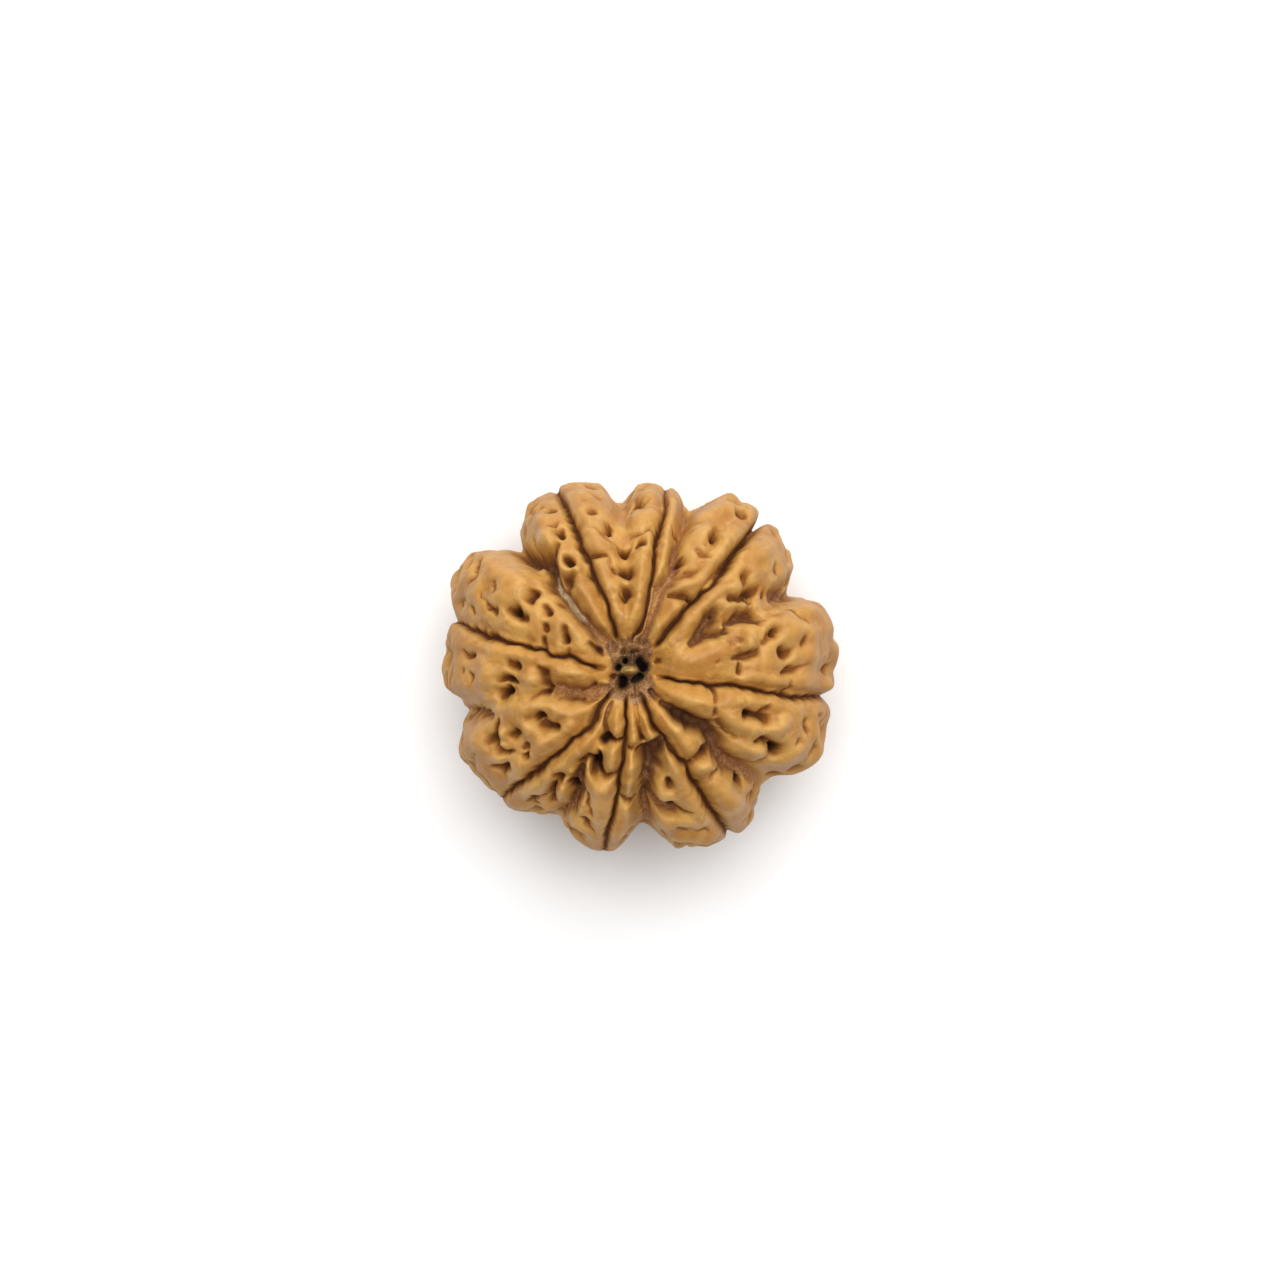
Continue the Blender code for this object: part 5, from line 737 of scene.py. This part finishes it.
def belt_strokes():
    """Seeded valleys, pits and low ridges round the middle, lobe by lobe."""
    draw = np.random.default_rng(BELT_SEED)
    valleys, cuts, ridges, centres = [], [], [], []
    for k in range(len(SEAMS)):
        start = SEAM_TABLES[k][1][-1]
        span = (SEAM_TABLES[(k + 1) % len(SEAMS)][1][-1] - start) % 360
        middle = np.linspace(*BELT_VALLEY_ZONE)
        lowest = middle[np.argmin(rim(start + middle * span))]
        path = []
        for height in np.linspace(-BELT_VALLEY_REACH, BELT_VALLEY_REACH, BELT_VALLEY_POINTS):
            share = (1 - abs(height) ** PROFILE_POWER) ** (1 / PROFILE_POWER)
            angle = start + (lowest + draw.uniform(-BELT_VALLEY_WAVE, BELT_VALLEY_WAVE)) * span
            point = body_point(angle, share, np.sign(height))
            path.append((point, BELT_VALLEY_WIDTH, BELT_VALLEY_DEPTH * abs(height)))
        valleys.append(path)
        for _ in range(BELT_TRIES_PER_LOBE):
            latitude = draw.uniform(-BELT_LATITUDE_DEG, BELT_LATITUDE_DEG)
            angle = start + draw.uniform(BELT_SEAM_GAP, 1 - BELT_SEAM_GAP) * span
            slant = draw.normal(0, BELT_SLANT)
            length = draw.uniform(*BELT_LENGTHS)
            width = draw.uniform(*BELT_HALF_WIDTHS)
            depth = draw.uniform(*BELT_DEPTHS)
            bend = draw.normal(0, BELT_BEND)
            lift_angle = angle + draw.uniform(-BELT_RIDGE_OFFSET_DEG, BELT_RIDGE_OFFSET_DEG)
            lift_width = draw.uniform(*BELT_RIDGE_HALF_WIDTHS)
            lift = draw.uniform(*BELT_RIDGE_HEIGHTS)
            share = np.cos(np.radians(latitude)) ** BELT_SHARE_POWER
            centre = body_point(angle, share, np.sign(latitude))
            if any(np.linalg.norm(centre - other) < BELT_SPACING for other in centres):
                continue
            centres.append(centre)
            across = np.array([-np.sin(np.radians(angle)), np.cos(np.radians(angle)), 0])
            along = across * np.sin(slant) + np.array([0, 0, np.cos(slant)])
            reach = along * length / 2
            end_width, end_depth = BELT_END_WIDTH * width, BELT_END_DEPTH * depth
            cuts.append([(centre - reach, end_width, end_depth), (centre + across * bend, width, depth),
                         (centre + reach, end_width, end_depth)])
            ridges.append([(body_point(lift_angle, share, np.sign(latitude)), lift_width, lift)])
    return valleys, cuts, ridges


def all_strokes():
    """Valleys, cuts and ridges of both faces and of the belt between them."""
    valleys, cuts, ridges = belt_strokes()
    for side in (1, -1):
        valleys += [stroke(marks, side, 1) for marks in VALLEYS]
        cuts += [stroke(marks, side, 1) for marks in CUTS + CRATER_CUTS]
        ridges += [stroke(marks, side, -1) for marks in RIDGES + CRATER_RIDGES]
    return valleys, cuts, ridges


def chain_pieces(chain):
    """The straight pieces of a chain, or its one point as a piece of no length."""
    return list(zip(chain, chain[1:])) or [(chain[0], chain[0])]


def sloping(gap, reach):
    """(1 - gap / reach) to a power: 1 beside a mark and 0 at the reach, steepest at the mark so that
    what lies between two marks is rounded like a pillow."""
    return np.clip(1 - gap / reach, 0, 1) ** SHOULDER_POWER


def stroke_field(points, chains, wall_power):
    """Joined depth of the chains at each point, the soft shoulder beside them, and their tone.

    A piece's depth is its amount times exp(-(gap / width) ** power), and pieces are joined as the root
    of a sum of powers. What is narrower than LEAST_HALF_WIDTH is widened to it and as much shallower.
    Shoulders are joined as the root of the sum of squares of each chain's strongest.
    The tone is 1 along the middle of a chain that isn't shallow, and falls to 0 beside it."""
    core = np.zeros(len(points))
    shoulder = np.zeros(len(points))
    tone = np.zeros(len(points))
    for chain in chains:
        beside = np.zeros(len(points))
        for (a, width_a, amount_a), (b, width_b, amount_b) in chain_pieces(chain):
            run = b - a
            widest = max(width_a, width_b, LEAST_HALF_WIDTH)
            reach = np.linalg.norm(run) / 2 + max(widest + SHOULDER_REACH, STROKE_REACH * widest)
            near = np.flatnonzero(((points - (a + b) / 2) ** 2).sum(axis=1) < reach ** 2)
            offset = points[near] - a
            t = np.clip(offset @ run / max(run @ run, TINY), 0, 1)
            gap = np.linalg.norm(offset - t[:, None] * run, axis=1)
            width = width_a + t * (width_b - width_a)
            amount = amount_a + t * (amount_b - amount_a)
            slope = np.minimum(amount, SHOULDER_CAP) * sloping(np.maximum(gap - width, 0), SHOULDER_REACH)
            beside[near] = np.maximum(beside[near], slope)
            amount = amount * np.minimum(width / LEAST_HALF_WIDTH, 1)
            width = np.maximum(width, LEAST_HALF_WIDTH)
            shape = np.exp(-(gap / (STROKE_SPREAD * width)) ** wall_power)
            core[near] += (amount * shape) ** JOIN_POWER
            tone[near] = np.maximum(tone[near], shape * np.minimum(amount / FULL_TONE_DEPTH, 1))
        shoulder += beside ** 2
    return core ** (1 / JOIN_POWER), SHOULDER_SHARE * np.sqrt(shoulder), tone


def seam_field(points):
    """Depth of the seams at each point, the soft shoulder beside them, and their tone, which paints shade
    along them.

    A seam's depth is exp(-(gap / width) ** power) of its deepest, which fades in at the crater and
    out at the rim."""
    radius, angle = polar(points[:, 0], points[:, 1])
    share = radius / rim(angle)
    depth = np.zeros(len(points))
    shoulder = np.zeros(len(points))
    tone = np.zeros(len(points))
    for k in range(len(SEAMS)):
        centre = seam_angle(k, share, points[:, 2] / HALF_HEIGHT)
        gap = np.abs((angle - centre + 180) % 360 - 180)
        gap = np.radians(gap) * radius
        width = np.interp(share, SEAM_TABLES[k][0], SEAM_TABLES[k][2])
        width = np.maximum(width, LEAST_SEAM_HALF_WIDTH)
        fade = np.clip((radius - SEAM_START_RADIUS) / SEAM_START_LENGTH, 0, 1)
        deepest = SEAM_DEPTH * fade * (1 - SEAM_RIM_LOSS * share ** SEAM_RIM_POWER)
        shape = np.exp(-(gap / (SEAM_SPREAD * width)) ** SEAM_WALL_POWER)
        depth = np.maximum(depth, deepest * shape)
        tone = np.maximum(tone, fade * shape)
        shoulder += (deepest * sloping(np.maximum(gap - width, 0), SEAM_SHOULDER_REACH)) ** 2
    return depth, SEAM_SHOULDER_SHARE * np.sqrt(shoulder), tone


def wobbled(points):
    """Points moved a little by seeded plane waves, so that the edges of the marks run unevenly."""
    draw = np.random.default_rng(WOBBLE_SEED)
    total = np.zeros(points.shape)
    for _ in range(WOBBLE_WAVES):
        way = draw.normal(size=3)
        wave = 2 * np.pi / draw.uniform(*WOBBLE_LENGTHS) * way / np.linalg.norm(way)
        push = draw.normal(size=3)
        total += push * np.sin(points @ wave + draw.uniform(0, 2 * np.pi))[:, None]
    return points + WOBBLE_SIZE * total * np.sqrt(2 / WOBBLE_WAVES)


def undulation(points):
    """Gentle waviness: a sum of seeded plane waves in many directions."""
    draw = np.random.default_rng(UNDULATION_SEED)
    total = np.zeros(len(points))
    for _ in range(UNDULATION_WAVES):
        way = draw.normal(size=3)
        length = draw.uniform(*UNDULATION_LENGTHS)
        wave = 2 * np.pi / length * way / np.linalg.norm(way)
        total += length / UNDULATION_LENGTHS[1] * np.sin(points @ wave + draw.uniform(0, 2 * np.pi))
    return UNDULATION_HEIGHT * total * np.sqrt(2 / UNDULATION_WAVES)


def relief(body):
    """Height of the surface over each point of the plain body, and the fields that it is made of.

    It is the ridges and the waviness, less the root of the sum of powers of valleys, cuts and seams,
    less the root of the sum of squares of their shoulders, less the crater and the dip round it."""
    valleys, cuts, ridges = all_strokes()
    uneven = wobbled(body)
    valley, valley_shoulder, floor = stroke_field(uneven, valleys, VALLEY_WALL_POWER)
    # The cuts' tone paints shade in the pits
    cut, cut_shoulder, pit_shade = stroke_field(uneven, cuts, PIT_WALL_POWER)
    ridge, _, _ = stroke_field(body, ridges, RIDGE_POWER)
    # line is the seams' tone, which paints shade along them
    seam, seam_shoulder, line = seam_field(uneven)
    radius, _ = polar(body[:, 0], body[:, 1])
    crater = CRATER_DEPTH * np.exp(-(radius / CRATER_RADIUS) ** CRATER_POWER)
    dip = POLE_DIP_DEPTH * np.exp(-(radius / POLE_DIP_RADIUS) ** 2)
    sunk = (valley ** MERGE_POWER + cut ** MERGE_POWER + seam ** MERGE_POWER) ** (1 / MERGE_POWER)
    shoulder = np.sqrt(valley_shoulder ** 2 + cut_shoulder ** 2 + seam_shoulder ** 2)
    height = RIDGE_LIFT * ridge + undulation(body) - sunk - shoulder - crater - dip
    return height, {"floor": floor, "valley": valley, "cut": cut, "pit_shade": pit_shade, "ridge": ridge, "seam": line}


def raised(body, height):
    """The body's points moved by their height, along lines that lean from the middle to the upright."""
    line = body * (LEAN, LEAN, 1)
    return body + height[:, None] * line / np.linalg.norm(line, axis=1)[:, None]


def grid_columns():
    """Lobe and share across it for each column, crowded towards the seams.

    Within a lobe the share is s - c sin(2 pi s) / (2 pi), where s runs evenly from 0 to 1."""
    starts = np.array([table[1][-1] for table in SEAM_TABLES])
    spans = (np.roll(starts, -1) - starts) % 360
    counts = np.round(COLUMNS * spans / 360).astype(int)
    counts[-1] += COLUMNS - counts.sum()
    lobes, shares = [], []
    for lobe, count in enumerate(counts):
        s = np.arange(count) / count
        lobes.append(np.full(count, lobe))
        shares.append(s - SEAM_CROWDING * np.sin(2 * np.pi * s) / (2 * np.pi))
    return np.concatenate(lobes), np.concatenate(shares)


def grid_rows():
    """Shares of the body's radius and of its half-height for each row, crowded towards the upper pole.

    A row at the angle t from a pole has sin(t) ** (2 / n) of the one and cos(t) ** (2 / n) of the other,
    which is less than 0 on the lower side."""
    s = np.linspace(0, 1, ROWS_ABOVE + 1)[1:]
    above = np.pi / 2 * (s - POLE_CROWDING * np.sin(np.pi * s) / np.pi)
    below = np.linspace(np.pi / 2, 0, ROWS_BELOW + 1)[1:-1]
    t = np.concatenate([above, below])
    side = np.concatenate([np.ones(len(above)), -np.ones(len(below))])
    return np.sin(t) ** (2 / PROFILE_POWER), side * np.cos(t) ** (2 / PROFILE_POWER)


def body_grid():
    """Points of the plain body, a ring for each row and the two poles last, and the number of rings."""
    lobes, fractions = grid_columns()
    rings = []
    for share, height in zip(*grid_rows()):
        starts = np.array([float(seam_angle(k, share, height)) for k in range(len(SEAMS))])
        spans = (np.roll(starts, -1) - starts) % 360
        angle = starts[lobes] + fractions * spans[lobes]
        turn = np.radians(angle)
        radius = share * rim(angle)
        rings.append(np.stack([radius * np.cos(turn), radius * np.sin(turn),
                               np.full(COLUMNS, HALF_HEIGHT * height)], axis=1))
    poles = np.array([[0, 0, HALF_HEIGHT], [0, 0, -HALF_HEIGHT]])
    return np.concatenate(rings + [poles]), len(rings)


def grid_faces(rings):
    """Quads between neighbouring rings, and a fan of triangles at each pole."""
    row = np.arange(rings - 1)[:, None] * COLUMNS
    column = np.arange(COLUMNS)
    after = (column + 1) % COLUMNS
    quads = np.stack([row + column, row + COLUMNS + column, row + COLUMNS + after, row + after], axis=-1)
    top, bottom = rings * COLUMNS, rings * COLUMNS + 1
    last = (rings - 1) * COLUMNS
    upper = np.stack([np.full(COLUMNS, top), column, after], axis=1)
    lower = np.stack([np.full(COLUMNS, bottom), last + after, last + column], axis=1)
    return quads.reshape(-1, 4).tolist() + upper.tolist() + lower.tolist()


def smoothed(values, rings, rounds):
    """A value averaged with its neighbours on the grid, weighed 1, 2, 1 each way, round after round."""
    sheet = values[:rings * COLUMNS].reshape(rings, COLUMNS)
    for _ in range(rounds):
        across = (np.roll(sheet, 1, axis=1) + np.roll(sheet, -1, axis=1)) / 4 + sheet / 2
        padded = np.concatenate([across[:1], across, across[-1:]])
        sheet = (padded[:-2] + padded[2:]) / 4 + padded[1:-1] / 2
    return np.concatenate([sheet.ravel(), values[rings * COLUMNS:]])


def path_mask(body, paths):
    """Each path's own share along it on the upper face, less for a thin one, and 0 away from it."""
    return stroke_field(body, [stroke(path, 1, 1) for path in paths], PATH_WALL_POWER)[0]


def skin_masks(body, rings, height, fields):
    """Where each colour of the wood and each painted shade and highlight goes: depths in millimetres for the
    painted shade of the pits and of the deepest valleys, and else 0 to 1.

    A hollow below the mean of the skin round it gets painted shade, and a ridge top above it a painted
    highlight. The rim and the core of the crater are exp(-(radius / reach) ** power), and the plug is the
    same for an oval."""
    radius, angle = polar(body[:, 0], body[:, 1])
    hollow = smoothed(height, rings, HOLLOW_ROUNDS) - height
    reach = np.interp(angle, *np.transpose(CRATER_REACH), period=360)
    x, y, half_length, half_width = PLUG
    plug = np.hypot((body[:, 0] - x) / half_length, (body[:, 1] - y) / half_width)
    knobless = np.clip((KNOB_HEIGHT - fields["ridge"]) / KNOB_FADE, 0, 1)
    return {
        # The pits' depth and tone and the seams' tone paint shade in them
        "pit_shade": fields["cut"],
        "pit_shade_tone": fields["pit_shade"],
        "seam": fields["seam"],
        "floor": fields["floor"] * knobless,
        # Painted shade in the deepest valleys
        "deep_valley_shade": fields["valley"] * knobless,
        "crater_rim": np.exp(-(radius / reach) ** CRATER_EDGE_POWER),
        "crater_core": np.exp(-(radius / CRATER_CORE_RADIUS) ** CRATER_EDGE_POWER),
        # Painted shade in hollows and a painted highlight on ridge tops
        "nook_shade": np.clip(hollow / NOOK_SHADE_DEPTH, 0, 1),
        "crest_highlight": np.clip(-hollow / CREST_HIGHLIGHT_HEIGHT, 0, 1),
        "flank": np.clip((radius / rim(angle) - FLANK_START) / FLANK_SPAN, 0, 1) ** FLANK_POWER,
        "plug": np.exp(-plug ** PLUG_EDGE_POWER) * (body[:, 2] > 0),
    }


class Wire:
    """A node socket whose arithmetic adds Math nodes."""

    def __init__(self, paint, socket):
        self.paint = paint
        self.socket = socket

    def maths(self, operation, *values):
        return self.paint.node("ShaderNodeMath", {"operation": operation}, dict(enumerate(values)))

    def __add__(self, other):
        return self.maths("ADD", self, other)

    def __sub__(self, other):
        return self.maths("SUBTRACT", self, other)

    def __mul__(self, other):
        return self.maths("MULTIPLY", self, other)

    __radd__ = __add__

    def clamp(self):
        return self.maths("MAXIMUM", self.maths("MINIMUM", self, 1.0), 0.0)

    def step(self, low, high):
        """Rises smoothly from 0 at low to 1 at high."""
        settings = {"interpolation_type": "SMOOTHSTEP"}
        sockets = {"Value": self, "From Min": low, "From Max": high}
        return self.paint.node("ShaderNodeMapRange", settings, sockets)


class Paint:
    """A new material with a Principled shader, and one method for any other node."""

    def __init__(self, name):
        self.material = bpy.data.materials.new(name)
        self.material.use_nodes = True
        self.tree = self.material.node_tree
        self.shader = self.tree.nodes["Principled BSDF"]

    def node(self, kind, settings=None, sockets=None, output=0):
        made = self.tree.nodes.new(kind)
        for key, value in (settings or {}).items():
            setattr(made, key, value)
        for key, value in (sockets or {}).items():
            self.feed(made.inputs[key], value)
        return Wire(self, made.outputs[output])

    def feed(self, socket, value):
        if isinstance(value, Wire):
            self.tree.links.new(value.socket, socket)
        elif socket.type == "RGBA":
            socket.default_value = (*value, 1)
        else:
            socket.default_value = value

    def set(self, **values):
        for key, value in values.items():
            self.feed(self.shader.inputs[key.replace("_", " ")], value)

    def attribute(self, name):
        return self.node("ShaderNodeAttribute", {"attribute_name": name}, output="Fac")

    def noise(self, point, size_mm, detail, roughness, distortion):
        """Noise whose lumps are about size_mm across."""
        sockets = {"Vector": point, "Scale": 1 / (size_mm * MM), "Detail": detail, "Roughness": roughness,
                   "Distortion": distortion}
        return self.node("ShaderNodeTexNoise", {}, sockets)

    def mix(self, share, first, second):
        settings = {"data_type": "RGBA", "clamp_factor": True}
        return self.node("ShaderNodeMix", settings, {0: share, 6: first, 7: second}, output=2)


def finish(paint, masks, name):
    """A finish's colour with each of its layers mixed over it, by its share of its mask."""
    colour, layers = FINISHES[name]
    for mask, ends, share, over in layers:
        strength = masks[mask].step(*ends) if ends else masks[mask]
        over = finish(paint, masks, over) if isinstance(over, str) else over
        colour = paint.mix(strength * masks.get(share, share), colour, over)
    return colour


def weighed(masks, shares):
    """Sum of the masks, each times its share."""
    return sum(masks[name] * share for name, share in shares.items())


def wood_paint(mask_names):
    """Satin ochre wood: mottled colour, browner flanks and fibrous floors, with painted highlights on ridge
    tops and painted dark red-brown shade in hollows, the deepest valleys, pits and seams.
    """
    paint = Paint("rudraksha_wood")
    point = paint.node("ShaderNodeTexCoord", output="Object")
    masks = {name: paint.noise(point, *noise) for name, noise in NOISES.items()}
    masks |= {name: paint.attribute(name) for name in mask_names}
    for name, (mask, noise, strength) in RAGGED_MASKS.items():
        masks[name] = masks[mask] + (masks[noise] - NOISE_MIDDLE) * strength
    # Painted highlight on ridge tops, mottled
    masks["mottled_crest_highlight"] = masks["crest_highlight"] * (CREST_HIGHLIGHT_SHARE + masks["mottle"] * CREST_HIGHLIGHT_MOTTLE)
    masks["fibrous_grain"] = (masks["floor"] + masks["crater_rim"]) * masks["grain"]
    masks["sunk"] = (masks["floor"] + masks["pit_shade"] + masks["seam"] + masks["crater_core"]).clamp()
    lumps = weighed(masks, LUMPS)
    bump = {"Strength": BUMP_STRENGTH, "Distance": BUMP_HEIGHT * MM, "Height": lumps}
    paint.set(Base_Color=finish(paint, masks, "wood"), Roughness=WOOD_ROUGHNESS + weighed(masks, ROUGHER),
              Normal=paint.node("ShaderNodeBump", {}, bump), Specular_IOR_Level=WOOD_SPECULAR)
    return paint.material


def added(name, data):
    """A new object in the scene."""
    made = bpy.data.objects.new(name, data)
    bpy.context.scene.collection.objects.link(made)
    return made


def make_seed():
    """The skin, set level on the floor with its box centred on the solid's, and how far it was moved."""
    body, rings = body_grid()
    height, fields = relief(body)
    strand = path_mask(body, STRAND)
    fibre = path_mask(body, FIBRES)
    height += STRAND_LIFT * strand + FIBRE_LIFT * fibre
    points = raised(body, height)
    box_low, box_high = np.array(cad_box) / MM
    shift = (box_low + box_high - points.min(axis=0) - points.max(axis=0)) / 2
    shift[2] = -points[:, 2].min() - FLAT_SPOT_CUT
    points = np.clip(points + shift, box_low, box_high)
    mesh = bpy.data.meshes.new(NAME)
    mesh.from_pydata((points * MM).tolist(), [], grid_faces(rings))
    mesh.update()
    mesh.shade_smooth()
    masks = skin_masks(body, rings, height, fields) | {"strand": strand, "fibre": fibre}
    for name, values in masks.items():
        layer = mesh.attributes.new(name, "FLOAT", "POINT")
        layer.data.foreach_set("value", values.astype(np.float32))
    mesh.materials.append(wood_paint(masks))
    return added(NAME, mesh), shift


def make_floor():
    """A wide pale sheet under the seed."""
    corners = [(x * FLOOR_HALF, y * FLOOR_HALF, 0) for x, y in ((-1, -1), (1, -1), (1, 1), (-1, 1))]
    mesh = bpy.data.meshes.new("floor")
    mesh.from_pydata(corners, [], [(0, 1, 2, 3)])
    paint = Paint("floor_white")
    paint.set(Base_Color=FLOOR_WHITE, Roughness=FLOOR_ROUGHNESS)
    mesh.materials.append(paint.material)
    return added("floor", mesh)


def make_camera(shift):
    """Straight above, the pole at its pixel and the picture's width in proportion."""
    width = IMAGE_PX / PX_PER_MM * MM
    x = (shift[0] + (IMAGE_PX / 2 - POLE_PX[0]) / PX_PER_MM) * MM
    y = (shift[1] + (POLE_PX[1] - IMAGE_PX / 2) / PX_PER_MM) * MM
    lens = bpy.data.cameras.new("camera")
    lens.sensor_width = SENSOR
    lens.lens = SENSOR * CAMERA_HEIGHT / width
    camera = added("camera", lens)
    camera.location = (x, y, CAMERA_HEIGHT + HALF_HEIGHT * MM)
    bpy.context.scene.camera = camera


def make_light(name, place, size, power):
    """A square soft light that looks at the seed."""
    lamp = bpy.data.lights.new(name, "AREA")
    lamp.shape = "SQUARE"
    lamp.size = size
    lamp.energy = power
    light = added(name, lamp)
    light.location = place
    light.rotation_euler = light.location.to_track_quat("Z", "Y").to_euler()


def make_lights():
    """A broad soft light from above and beyond, a weaker one from straight above, and a white room."""
    for light in LIGHTS:
        make_light(*light)
    world = bpy.data.worlds.new("white_room")
    world.use_nodes = True
    background = world.node_tree.nodes["Background"]
    background.inputs["Color"].default_value = (1, 1, 1, 1)
    background.inputs["Strength"].default_value = ROOM_STRENGTH
    bpy.context.scene.world = world


seed, seed_shift = make_seed()
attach(seed, "root")
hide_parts(NODE)
make_floor()
make_camera(seed_shift)
make_lights()
bpy.context.scene.view_settings.view_transform = "Standard"
